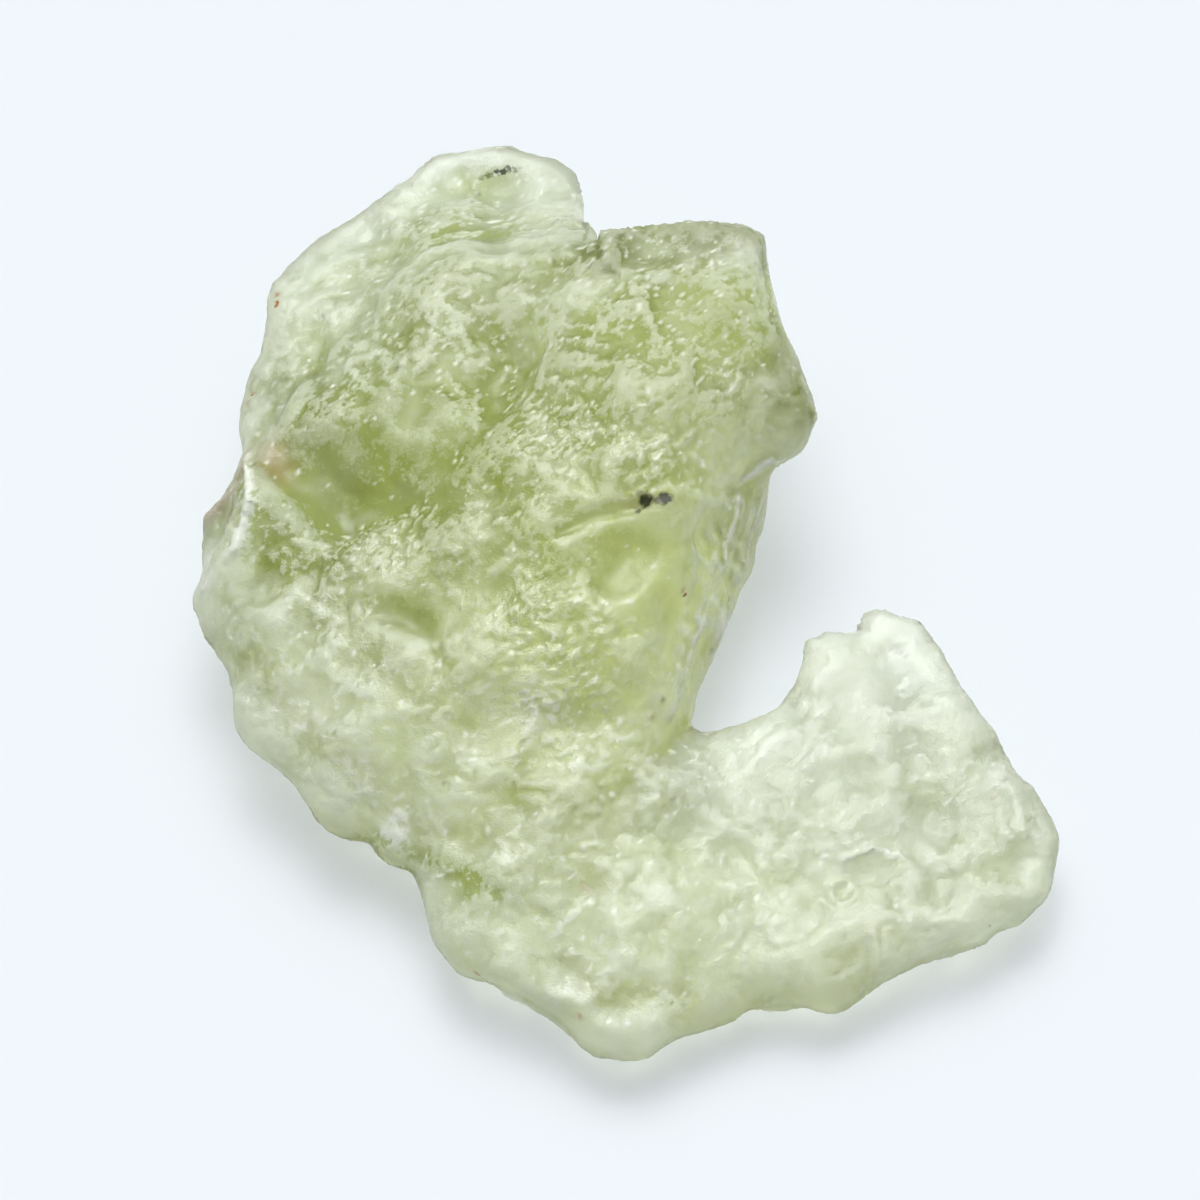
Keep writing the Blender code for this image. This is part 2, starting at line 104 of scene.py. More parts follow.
@dataclass(frozen=True)
class Viewpoint:
    """Where the camera stands. Places in its picture are millimetres across and up from the middle."""

    elevation: float = math.radians(60.0)
    distance: float = 0.4
    aim: tuple[float, float, float] = (-0.0012, 0.0022, 0.0)
    seen_width: float = 0.060
    sensor: float = 36.0

    def backward(self) -> Vector:
        """The direction from the aim point to the eye."""
        return Vector((0.0, -math.cos(self.elevation), math.sin(self.elevation)))

    def upward(self) -> Vector:
        """The direction that is up in the picture."""
        return Vector((0.0, math.sin(self.elevation), math.cos(self.elevation)))

    def eye(self) -> Vector:
        """The camera's place, in metres."""
        return Vector(self.aim) + self.backward() * self.distance

    def line_of_sight(self, place: Spot) -> Vector:
        """The direction from the eye through a place in the picture.

        Args:
            place: millimetres across and up in the picture.

        Returns:
            The direction, of length one.
        """
        across, up = place
        target = Vector(self.aim) + Vector((across * MM, 0.0, 0.0)) + self.upward() * up * MM
        return (target - self.eye()).normalized()

    def picture_places(self, points: np.ndarray) -> np.ndarray:
        """Finds where points show in the picture.

        Args:
            points: places in millimetres, three a row.

        Returns:
            Millimetres across and up in the picture, two a row.
        """
        offset = points - np.array(self.eye() / MM)
        depth = offset @ -np.array(self.backward())
        scale = self.distance / MM / depth
        return np.stack((offset[:, 0] * scale, offset @ np.array(self.upward()) * scale), axis=1)

    def place_camera(self) -> None:
        """Makes the camera and gives it to the scene."""
        camera = bpy.data.cameras.new("picture_camera")
        camera.sensor_width = self.sensor
        camera.lens = self.sensor * self.distance / self.seen_width
        camera.clip_start = 0.01
        camera.clip_end = 10.0
        holder = bpy.data.objects.new("picture_camera", camera)
        holder.location = self.eye()
        holder.rotation_euler = (-self.backward()).to_track_quat("-Z", "Y").to_euler()
        bpy.context.scene.collection.objects.link(holder)
        bpy.context.scene.camera = holder


@dataclass(frozen=True)
class Ellipse:
    """An ellipse on the skin as the picture shows it: a patch of wear, a stain or a hollow.

    The amount is a strength, or a hollow's depth, which is below zero for a swelling.
    """

    across: float
    up: float
    long: float
    wide: float
    amount: float
    turn: float = 0.0


@dataclass(frozen=True)
class Vein:
    """A stain along a line, such as the deeper colour that shows through an edge."""

    places: tuple[Spot, ...]
    width: float
    strength: float


@dataclass(frozen=True)
class Crest:
    """A ridge along a line, or a groove where its rise is below zero. Its frost whitens the line: wear on
    most, a painted highlight on the left ridge and the lip.
    """

    places: tuple[Spot, ...]
    width: float
    rise: float
    frost: float = 0.0


@dataclass(frozen=True)
class Ledge:
    """A step along a line: the skin on the left of the line, walked from first to last, stands higher."""

    places: tuple[Spot, ...]
    width: float
    rise: float
    reach: float


@dataclass(frozen=True)
class BubbleRing:
    """The rim of a burst bubble."""

    across: float
    up: float
    radius: float
    width: float
    rise: float


@dataclass(frozen=True)
class Outline:
    """The shard's true edge as the picture shows it, a closed line that runs clockwise."""

    places: tuple[Spot, ...]
    spacing: float = 0.3
    search: float = 1.4
    step: float = 0.04
    reach: float = 2.6

    def samples(self) -> tuple[np.ndarray, np.ndarray]:
        """Spaces points evenly along the line.

        Returns:
            The points and the directions out of the shard, two numbers a row.
        """
        corners = np.array(self.places + self.places[:1])
        runs = np.linalg.norm(np.diff(corners, axis=0), axis=1)
        walked = np.concatenate(((0.0,), np.cumsum(runs)))
        stops = np.arange(0.0, walked[-1], self.spacing)
        points = np.stack([np.interp(stops, walked, corners[:, axis]) for axis in (0, 1)], axis=1)
        ahead = np.roll(points, -2, axis=0) - np.roll(points, 2, axis=0)
        outward = np.stack((-ahead[:, 1], ahead[:, 0]), axis=1)
        return points, outward / np.linalg.norm(outward, axis=1)[:, None]

    def fit(self, skin: "Skin") -> None:
        """Draws the rims of the shard to the line, and leaves its middle alone.

        Args:
            skin: the shard's surface.
        """
        points, outward = self.samples()
        eye = skin.view.eye() / MM
        gaps = np.zeros(len(points))
        for index, (point, way) in enumerate(zip(points, outward)):
            for distance in np.arange(self.search, -self.search, -self.step):
                place = point + way * distance
                if skin.tree.ray_cast(eye, skin.view.line_of_sight((place[0], place[1])))[0]:
                    gaps[index] = -distance
                    break
        gaps = (np.roll(gaps, 1) + 2.0 * gaps + np.roll(gaps, -1)) / 4.0
        seen = skin.view.picture_places(skin.points)
        shift = np.zeros((len(seen), 2))
        for start in range(0, len(seen), CHUNK):
            part = seen[start:start + CHUNK]
            distances = np.linalg.norm(part[:, None, :] - points[None, :, :], axis=2)
            nearest = distances.argmin(axis=1)
            fade = 1.0 - smooth_step(0.2, self.reach, distances.min(axis=1))
            shift[start:start + CHUNK] = outward[nearest] * (gaps[nearest] * fade)[:, None]
        skin.points[:, 0] += shift[:, 0]
        skin.points += shift[:, 1:] * np.array(skin.view.upward())
        skin.write()


@dataclass(frozen=True)
class Grain:
    """A small hard mark in the skin: colour only."""

    across: float
    up: float
    radius: float
    strength: float = 1.0


def ellipses(*rows: tuple[float, ...]) -> tuple[Ellipse, ...]:
    """Makes one ellipse of each row of numbers."""
    return tuple(Ellipse(*row) for row in rows)


def grains(*rows: tuple[float, ...]) -> tuple[Grain, ...]:
    """Makes one grain of each row of numbers."""
    return tuple(Grain(*row) for row in rows)


def smooth_step(low: float, high: float, value: np.ndarray) -> np.ndarray:
    """A soft change from 0 where the value is low to 1 where it is high."""
    share = np.clip((value - low) / (high - low), 0.0, 1.0)
    return share * share * (3.0 - 2.0 * share)


@dataclass(frozen=True)
class Noise:
    """Repeatable random fields over places in millimetres."""

    seed: int

    def cell_numbers(self, cells: np.ndarray, stream: int) -> np.ndarray:
        """A random number from 0 to 1 for each whole-numbered cell.

        Args:
            cells: whole numbers, three a row.
            stream: which of several unlike numbers is wanted.

        Returns:
            One number a row.
        """
        mixed = cells[..., 0] * 73856093 ^ cells[..., 1] * 19349663 ^ cells[..., 2] * 83492791
        mixed = mixed ^ (self.seed * 7919 + stream * 104729)
        for factor in (668265263, 374761393):
            mixed = (mixed ^ (mixed >> 13)) * factor
            mixed = mixed & 0x7FFFFFFFFFFF
        return ((mixed ^ (mixed >> 16)) & 0xFFFFFF) / float(0xFFFFFF)

    def clouds(self, points: np.ndarray, size: float) -> np.ndarray:
        """Soft random hills of one size.

        Args:
            points: places, three a row.
            size: how wide a hill is, in the units of the places.

        Returns:
            Numbers mostly from -1 to 1, about 0.
        """
        scaled = points / size
        base = np.floor(scaled).astype(np.int64)
        part = scaled - base
        ease = part * part * part * (part * (part * 6.0 - 15.0) + 10.0)
        total = np.zeros(len(points))
        for corner in np.ndindex(2, 2, 2):
            offset = np.array(corner)
            weight = np.prod(np.where(offset == 1, ease, 1.0 - ease), axis=1)
            slope = sum(
                (self.cell_numbers(base + offset, axis) * 2.0 - 1.0) * (part[:, axis] - offset[axis])
                for axis in range(3)
            )
            total += weight * slope
        return total * 1.9

    def fractal(self, points: np.ndarray, size: float, octaves: int = 3) -> np.ndarray:
        """Hills with smaller hills on them.

        Args:
            points: places, three a row.
            size: the widest hills.
            octaves: how many sizes, each half the one before.

        Returns:
            Numbers mostly from -1 to 1.
        """
        total = np.zeros(len(points))
        share = 1.0
        for octave in range(octaves):
            total += share * self.clouds(points + octave * 17.3, size / 2**octave)
            share *= 0.5
        return total / 1.5

    def cells(self, points: np.ndarray, size: float) -> tuple[np.ndarray, np.ndarray, np.ndarray]:
        """Distances to scattered centres, for bowls and pits.

        Args:
            points: places, three a row.
            size: how far apart the centres are.

        Returns:
            The distance to the nearest centre, to the next one, and the nearest one's own random number.
        """
        scaled = points / size
        base = np.floor(scaled).astype(np.int64)
        nearest = np.full(len(points), FAR)
        second = np.full(len(points), FAR)
        number = np.zeros(len(points))
        for step in np.ndindex(3, 3, 3):
            cell = base + np.array(step) - 1
            centre = np.stack([self.cell_numbers(cell, axis) for axis in range(3)], axis=1)
            distance = np.linalg.norm(cell + centre - scaled, axis=1)
            closer = distance < nearest
            second = np.where(closer, nearest, np.minimum(second, distance))
            number = np.where(closer, self.cell_numbers(cell, 5), number)
            nearest = np.where(closer, distance, nearest)
        return nearest, second, number

    def warp(self, points: np.ndarray, size: float, amount: float) -> np.ndarray:
        """Places pushed about by soft noise of a size, so that what is drawn over them isn't regular."""
        pushes = [self.clouds(points + shift, size) for shift in (31.7, 67.1, 93.9)]
        return points + np.stack(pushes, axis=1) * amount


class Skin:
    """The shard's surface as arrays in millimetres, and where the picture's places lie on it."""

    def __init__(self, mesh: bpy.types.Mesh, view: Viewpoint) -> None:
        """Reads the mesh.

        Args:
            mesh: the shard's mesh, in metres.
            view: the viewpoint that places are given from.
        """
        self.mesh = mesh
        self.view = view
        self.points = np.empty(0)
        self.normals = np.empty(0)
        self.read()
        pairs = np.empty(len(mesh.edges) * 2, dtype=np.int32)
        mesh.edges.foreach_get("vertices", pairs)
        self.edges = pairs.reshape(-1, 2)
        triangles = [tuple(face.vertices) for face in mesh.polygons]
        self.tree = BVHTree.FromPolygons([Vector(point) for point in self.points], triangles)

    def read(self) -> None:
        """Takes the vertices' places and normals from the mesh."""
        count = len(self.mesh.vertices)
        flat = np.empty(count * 3)
        self.mesh.vertices.foreach_get("co", flat)
        self.points = flat.reshape(-1, 3) / MM
        turned = np.empty(count * 3, dtype=np.float32)
        self.mesh.vertex_normals.foreach_get("vector", turned)
        self.normals = turned.reshape(-1, 3).astype(float)

    def write(self) -> None:
        """Puts the places back into the mesh and takes the new normals."""
        self.mesh.vertices.foreach_set("co", (self.points * MM).ravel())
        self.mesh.update()
        self.read()

    def push(self, heights: np.ndarray) -> None:
        """Moves each vertex along its normal by its own height in millimetres."""
        self.points = self.points + self.normals * heights[:, None]
        self.write()

    def rest_above(self, lift: float) -> None:
        """Lifts every vertex that is lower than this above the table, in millimetres."""
        self.points[:, 2] = np.maximum(self.points[:, 2], lift)
        self.write()

    def anchor(self, place: Spot) -> tuple[np.ndarray, np.ndarray]:
        """Finds what the picture shows at a place.

        Args:
            place: millimetres across and up in the picture.

        Returns:
            The point of the skin there and its normal, in millimetres.
        """
        eye = self.view.eye() / MM
        sight = self.view.line_of_sight(place)
        hit, normal, _, _ = self.tree.ray_cast(eye, sight)
        if hit is None:
            heights = np.arange(0.0, self.points[:, 2].max(), 0.5)
            passed = [eye + sight * ((height - eye.z) / sight.z) for height in heights]
            found = [self.tree.find_nearest(point) for point in passed]
            hit, normal, _, _ = min(found, key=lambda one: one[3])
        return np.array(hit), np.array(normal)

    def local(self, place: Spot, turn: float) -> tuple[np.ndarray, np.ndarray, np.ndarray]:
        """Measures every vertex from a place, along the skin there.

        Args:
            place: millimetres across and up in the picture.
            turn: degrees that the first direction turns left of the picture's across.

        Returns:
            Distances along the first direction, along the second and away from the skin.
        """
        centre, normal = self.anchor(place)
        across = np.array((1.0, 0.0, 0.0)) - normal * normal[0]
        across /= np.linalg.norm(across)
        side = np.cross(normal, across)
        angle = math.radians(turn)
        first = across * math.cos(angle) + side * math.sin(angle)
        second = np.cross(normal, first)
        offset = self.points - centre
        return offset @ first, offset @ second, offset @ normal

    def ellipse(self, shape: Ellipse) -> np.ndarray:
        """How far every vertex lies from an ellipse's middle: 1 on its edge.

        Args:
            shape: the ellipse.

        Returns:
            One number a vertex.
        """
        first, second, away = self.local((shape.across, shape.up), shape.turn)
        depth = max(shape.wide, LEAST_DEPTH)
        return np.sqrt((first / shape.long) ** 2 + (second / shape.wide) ** 2 + (away / depth) ** 2)

    def from_line(self, places: tuple[Spot, ...]) -> tuple[np.ndarray, np.ndarray]:
        """Measures every vertex from a line over the skin.

        Args:
            places: the line's points in the picture.

        Returns:
            The distance, and the distance with a sign that is above zero on the line's left.
        """
        anchors = [self.anchor(place) for place in places]
        nearest = np.full(len(self.points), FAR)
        signed = np.zeros(len(self.points))
        for (start, up), (end, _) in zip(anchors[:-1], anchors[1:]):
            run = end - start
            share = np.clip((self.points - start) @ run / (run @ run), 0.0, 1.0)
            offset = self.points - (start + share[:, None] * run)
            distance = np.linalg.norm(offset, axis=1)
            left = np.cross(up, run / np.linalg.norm(run))
            closer = distance < nearest
            signed = np.where(closer, offset @ left, signed)
            nearest = np.where(closer, distance, nearest)
        return nearest, signed

    def spread(self, values: np.ndarray, rounds: int) -> np.ndarray:
        """Averages each vertex with its neighbours.

        Args:
            values: one row of numbers a vertex.
            rounds: how many times.

        Returns:
            The averaged values.
        """
        count = np.bincount(self.edges.ravel(), minlength=len(values))[:, None]
        for _ in range(rounds):
            total = np.zeros_like(values)
            for axis in range(values.shape[1]):
                ahead = np.bincount(self.edges[:, 0], values[self.edges[:, 1], axis], len(values))
                behind = np.bincount(self.edges[:, 1], values[self.edges[:, 0], axis], len(values))
                total[:, axis] = ahead + behind
            values = 0.4 * values + 0.6 * total / count
        return values

    def raised(self, rounds: int) -> np.ndarray:
        """How many millimetres each vertex stands above the skin some rounds of averaging around it."""
        return np.einsum("ij,ij->i", self.points - self.spread(self.points, rounds), self.normals)

    def store(self, name: str, values: np.ndarray) -> None:
        """Keeps one number a vertex in the mesh under a name, for the material."""
        layer = self.mesh.attributes.get(name) or self.mesh.attributes.new(name, "FLOAT", "POINT")
        layer.data.foreach_set("value", values.astype(np.float32))


@dataclass(frozen=True)
class Wear:
    """What one kind of weathering does to the skin, in millimetres and shares, and how often glints are
    painted on it.
    """

    lumps: float
    knobs: float
    cobbles: float
    pits: float
    ripples: float
    grooves: float
    frost: float
    roughness: float
    # How often white specks are painted on as glints: a painted highlight.
    painted_sparkle: float
    mottle: float
    gloss: float


WEAR = {
    Weather.DIMPLED: Wear(0.09, 0.06, 0.04, 0.03, 0.0, 0.0, 0.17, 0.40, 0.50, 0.90, 0.30),
    Weather.SMOOTH: Wear(0.05, 0.02, 0.0, 0.0, 0.0, 0.0, 0.07, 0.42, 0.10, 0.40, 0.10),
    Weather.PITTED: Wear(0.08, 0.07, 0.19, 0.08, 0.0, 0.0, 0.18, 0.32, 0.90, 1.25, 0.80),
    Weather.WRINKLED: Wear(0.06, 0.06, 0.05, 0.03, 0.11, 0.0, 0.20, 0.46, 0.80, 0.90, 0.20),
    Weather.STREAKED: Wear(0.04, 0.03, 0.0, 0.0, 0.0, 0.28, 0.20, 0.34, 0.40, 1.00, 0.40),
    Weather.MILKY: Wear(0.07, 0.05, 0.03, 0.02, 0.0, 0.0, 0.34, 0.48, 0.80, 0.95, 0.15),
    Weather.CLEAR: Wear(0.045, 0.05, 0.04, 0.01, 0.02, 0.0, 0.18, 0.36, 0.50, 1.00, 0.25),
    Weather.MATT: Wear(0.05, 0.06, 0.05, 0.03, 0.05, 0.0, 0.24, 0.56, 1.00, 0.65, 0.10),
}


@dataclass
class Shard:
    """The one piece of natural glass: mesh, relief, frost and marks."""

    view: Viewpoint
    outline: Outline
    patches: dict[Weather, tuple[Ellipse, ...]]
    blotches: dict[Stain, tuple[Ellipse, ...]]
    veins: dict[Stain, tuple[Vein, ...]]
    hollows: tuple[Ellipse, ...]
    crests: tuple[Crest, ...]
    ledges: tuple[Ledge, ...]
    rings: tuple[BubbleRing, ...]
    grains: dict[Fleck, tuple[Grain, ...]]
    voxel: float = 0.21
    lift: float = 0.005
    belly_roughness: float = 0.5
    # The painted glints: white specks of this size, chance and strength.
    spark_size: float = 0.14
    spark_chance: float = 0.045
    spark_strength: float = 0.85
    patch_edge: tuple[float, float] = (0.65, 1.25)
    stain_edge: tuple[float, float] = (0.1, 1.3)
    vein_edge: tuple[float, float] = (0.3, 1.4)
    noise: Noise = Noise(11)
    skin: Skin = field(init=False)
    weights: dict[Weather, np.ndarray] = field(init=False)

    def build(self) -> bpy.types.Object:
        """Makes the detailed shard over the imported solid.

        Returns:
            The shard's object.
        """
        shard = self.smooth_copy()
        self.skin = Skin(shard.data, self.view)
        self.outline.fit(self.skin)
        self.shape_large()
        self.weights = self.weather_weights()
        self.shape_fine()
        self.frost()
        self.stain()
        for polygon in shard.data.polygons:
            polygon.use_smooth = True
        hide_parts(CAD_NODE)
        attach(shard, BODY)
        log.info("glass_shard: %d faces", len(shard.data.polygons))
        return shard

    def smooth_copy(self) -> bpy.types.Object:
        """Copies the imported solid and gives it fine, even faces.

        Returns:
            The new object, without modifiers.
        """
        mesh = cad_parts[CAD_NODE].data.copy()
        shard = bpy.data.objects.new("glass_shard", mesh)
        bpy.context.scene.collection.objects.link(shard)
        weld = shard.modifiers.new("weld", "WELD")
        weld.merge_threshold = 0.01 * MM
        rounding = shard.modifiers.new("rounding", "SUBSURF")
        rounding.levels = 1
        rounding.render_levels = 1
        remesh = shard.modifiers.new("even_faces", "REMESH")
        remesh.mode = "VOXEL"
        remesh.voxel_size = self.voxel * MM
        ease = shard.modifiers.new("ease", "SMOOTH")
        ease.factor = 0.5
        ease.iterations = 4
        graph = bpy.context.evaluated_depsgraph_get()
        even = bpy.data.meshes.new_from_object(shard.evaluated_get(graph))
        shard.modifiers.clear()
        shard.data = even
        even.name = "glass_shard"
        return shard

    def shape_large(self) -> None:
        """Cuts the hollows, crests, ledges and bubble rings that the picture shows one by one."""
        skin = self.skin
        heights = np.zeros(len(skin.points))
        for hollow in self.hollows:
            reach = skin.ellipse(hollow)
            heights -= hollow.amount * np.clip(1.0 - reach**2, 0.0, 1.0) ** 1.5
        wavy = self.noise.clouds(skin.points, 1.1)
        for crest in self.crests:
            distance, _ = skin.from_line(crest.places)
            heights += crest.rise * np.exp(-((distance / crest.width) ** 2)) * (1.0 + 0.5 * wavy)
        for ledge in self.ledges:
            distance, signed = skin.from_line(ledge.places)
            fade = 1.0 - smooth_step(0.3, 1.0, distance / ledge.reach)
            side = smooth_step(-ledge.width, ledge.width, signed + 0.2 * wavy) - 0.5
            heights += ledge.rise * side * fade
        for ring in self.rings:
            first, second, away = skin.local((ring.across, ring.up), 0.0)
            distance = np.abs(np.sqrt(first**2 + second**2 + away**2) - ring.radius)
            heights += ring.rise * np.exp(-((distance / ring.width) ** 2))
        skin.push(heights)

    def weather_weights(self) -> dict[Weather, np.ndarray]:
        """Shares the skin out among the kinds of weathering.

        Returns:
            A share from 0 to 1 a vertex, for each kind.
        """
        weights = {weather: np.zeros(len(self.skin.points)) for weather in Weather}
        ragged = self.noise.fractal(self.skin.points + 5.0, 2.4, 4) * 0.6
        for weather, patches in self.patches.items():
            for patch in patches:
                reach = self.skin.ellipse(patch) + ragged
                share = patch.amount * (1.0 - smooth_step(*self.patch_edge, reach))
                weights[weather] = np.maximum(weights[weather], share)
        total = sum(weights.values())
        scale = 1.0 / np.maximum(total, 1.0)
        weights = {weather: share * scale for weather, share in weights.items()}
        weights[Weather.DIMPLED] = weights[Weather.DIMPLED] + np.clip(1.0 - total, 0.0, 1.0)
        return weights

    def mixed(self, quality: str) -> np.ndarray:
        """One quality of the wear, named as in Wear, at every vertex."""
        return sum(getattr(WEAR[weather], quality) * share for weather, share in self.weights.items())

    def shape_fine(self) -> None:
        """Wears lumps, cobbles, pits, ripples and grooves into the skin."""
        skin = self.skin
        points = self.noise.warp(skin.points, 1.8, 0.35)
        # Each kind of relief has a seed of its own.
        lumps = 2.0 * np.abs(Noise(17).fractal(points, 2.2, 3)) - 0.5
        knobs = 2.0 * np.abs(Noise(23).fractal(points, 0.9, 2)) - 0.5
        nearest, second, number = Noise(37).cells(points, 0.6)
        cobbles = smooth_step(0.0, 0.4, second - nearest) - 0.6
        pits = np.clip(1.0 - (nearest / 0.45) ** 2, 0.0, 1.0) * (number > 0.45)
        stretched = points * np.array((0.36, 1.0, 1.0))
        ripples = 2.0 * np.abs(Noise(41).fractal(stretched, 1.2, 3)) - 0.5
        down = points * np.array((1.0, 1.0, 0.22))
        grooves = Noise(53).fractal(down, 0.9, 2)
        grit = Noise(29).clouds(points, 0.45)
        swells = Noise(61).fractal(skin.points, 4.2, 2)
        relief = {
            "lumps": lumps + 1.2 * swells,
            "knobs": knobs + 0.35 * grit,
            "cobbles": cobbles,
            "pits": -pits,
            "ripples": ripples,
            "grooves": grooves,
        }
        heights = sum(self.mixed(quality) * height for quality, height in relief.items())
        skin.push(heights * self.off_the_rim())
        skin.rest_above(self.lift)
        skin.store("raised", np.clip(skin.raised(6) / 0.03 + skin.raised(40) / 0.10, -1.0, 1.0))

    def off_the_rim(self) -> np.ndarray:
        """How much relief a vertex takes: less along the thin rims and under the belly."""
        upright = self.skin.normals[:, 2]
        belly = smooth_step(0.1, 0.6, -upright)
        return (0.3 + 0.7 * smooth_step(0.05, 0.55, np.abs(upright))) * (1.0 - 0.6 * belly)

    def frost(self) -> None:
        """Writes how frosted, rough, mottled and glossy the skin is, and where white specks are painted on as
        glints.
        """
        skin = self.skin
        mottle = self.noise.fractal(skin.points + 9.0, 1.3, 4)
        frost = self.mixed("frost")
        # Frost along the crests: wear, and on the left ridge and the lip a painted highlight.
        for crest in self.crests:
            distance, _ = skin.from_line(crest.places)
            frost = frost + crest.frost * np.exp(-((distance / (crest.width * 1.3)) ** 2))
        broad = self.noise.fractal(skin.points + 4.0, 3.4, 2)
        frost = frost * np.clip(1.0 + 0.35 * mottle + 0.5 * broad, 0.3, 2.0)
        belly = smooth_step(0.1, 0.5, -skin.normals[:, 2])
        skin.store("frost", np.clip(frost * (1.0 - belly), 0.0, 1.0))
        rough = self.mixed("roughness")
        skin.store("worn_roughness", rough + (self.belly_roughness - rough) * belly)
        # Painted glints: scattered specks are painted white, standing in for highlights on the pits.
        grid = np.floor(skin.points / self.spark_size).astype(np.int64)
        lit = self.noise.cell_numbers(grid, 3) > 1.0 - self.spark_chance * self.mixed("painted_sparkle")
        for quality in ("mottle", "gloss"):
            skin.store(quality, self.mixed(quality))
        skin.store("painted_sparkle", self.spark_strength * lit * (1.0 - belly))

    def stain(self) -> None:
        """Writes the soft stains and the faintest grains."""
        skin = self.skin
        ragged = self.noise.fractal(skin.points + 3.0, 0.9) * 0.3
        for kind in Stain:
            left = np.ones(len(skin.points))
            for blotch in self.blotches.get(kind, ()):
                reach = skin.ellipse(blotch) + ragged
                left = left * (1.0 - blotch.amount * (1.0 - smooth_step(*self.stain_edge, reach)))
            for vein in self.veins.get(kind, ()):
                distance, _ = skin.from_line(vein.places)
                reach = distance / vein.width + 0.6 * ragged
                left = left * (1.0 - vein.strength * (1.0 - smooth_step(*self.vein_edge, reach)))
            if kind in CLOUD_SHIFT:
                drift = self.noise.fractal(skin.points + CLOUD_SHIFT[kind], CLOUD_SIZE, 4)
                left = left * (1.0 - CLOUD_STRENGTH * np.clip(drift, 0.0, 1.0))
            skin.store(kind.name.lower(), 1.0 - left)
        for fleck, marks in self.grains.items():
            amount = np.zeros(len(skin.points))
            for grain in marks:
                if grain.radius < CRISP_GRAIN:
                    centre, _ = skin.anchor((grain.across, grain.up))
                    away = np.linalg.norm(skin.points - centre, axis=1)
                    spot = grain.strength * np.exp(-((away / (grain.radius + 0.06)) ** 2))
                    amount = np.maximum(amount, spot)
            skin.store("faint_" + fleck.name.lower(), amount)


class NodeBoard:
    """Short ways to lay out the nodes of a material or a world."""

    def __init__(self, owner: bpy.types.Material | bpy.types.World) -> None:
        """Empties the owner's nodes and keeps them to lay out."""
        owner.use_nodes = True
        self.tree = owner.node_tree
        self.tree.nodes.clear()

    def add(self, kind: str, **inputs: object) -> bpy.types.Node:
        """Adds a node.

        Args:
            kind: the node's type, without its ShaderNode prefix.
            inputs: values or sockets for its inputs, with underscores for spaces.

        Returns:
            The node.
        """
        node = self.tree.nodes.new("ShaderNode" + kind)
        for name, value in inputs.items():
            self.feed(node.inputs[name.replace("_", " ")], value)
        return node

    def feed(self, socket: bpy.types.NodeSocket, value: object) -> None:
        """Links a socket to an input, or sets the input's value.

        Args:
            socket: the input.
            value: an output socket, a number or a row of numbers.
        """
        if isinstance(value, bpy.types.NodeSocket):
            self.tree.links.new(value, socket)
        else:
            socket.default_value = value

    def maths(self, operation: str, first: object, second: object = 0.0) -> bpy.types.NodeSocket:
        """One sum. Returns its result."""
        node = self.tree.nodes.new("ShaderNodeMath")
        node.operation = operation
        self.feed(node.inputs[0], first)
        self.feed(node.inputs[1], second)
        return node.outputs[0]

    def vectors(self, operation: str, *inputs: object) -> bpy.types.Node:
        """One sum of vectors. Returns its node."""
        node = self.tree.nodes.new("ShaderNodeVectorMath")
        node.operation = operation
        for socket, value in zip(node.inputs, inputs):
            self.feed(socket, value)
        return node

    def ranged(self, value: object, low: float, high: float, start: float = 0.0,
               end: float = 1.0) -> bpy.types.NodeSocket:
        """A soft change of a value from one range to another.

        Args:
            value: the value to change.
            low: where the range starts.
            high: where it ends.
            start: the result at its start.
            end: the result at its end.

        Returns:
            The result's socket.
        """
        node = self.add("MapRange", Value=value, From_Min=low, From_Max=high, To_Min=start, To_Max=end)
        node.interpolation_type = "SMOOTHSTEP"
        return node.outputs["Result"]

    def blend(self, share: object, first: object, second: object) -> bpy.types.NodeSocket:
        """Mixes two colours.

        Args:
            share: how much of the second.
            first: a colour or socket.
            second: a colour or socket.

        Returns:
            The mixed colour's socket.
        """
        node = self.tree.nodes.new("ShaderNodeMix")
        node.data_type = "RGBA"
        self.feed(node.inputs["Factor"], share)
        for socket, value in ((node.inputs[6], first), (node.inputs[7], second)):
            self.feed(socket, (*value, 1.0) if isinstance(value, tuple) else value)
        return node.outputs[2]

    def stored(self, name: str) -> bpy.types.NodeSocket:
        """The number that the mesh keeps under a name."""
        node = self.tree.nodes.new("ShaderNodeAttribute")
        node.attribute_name = name
        return node.outputs["Fac"]


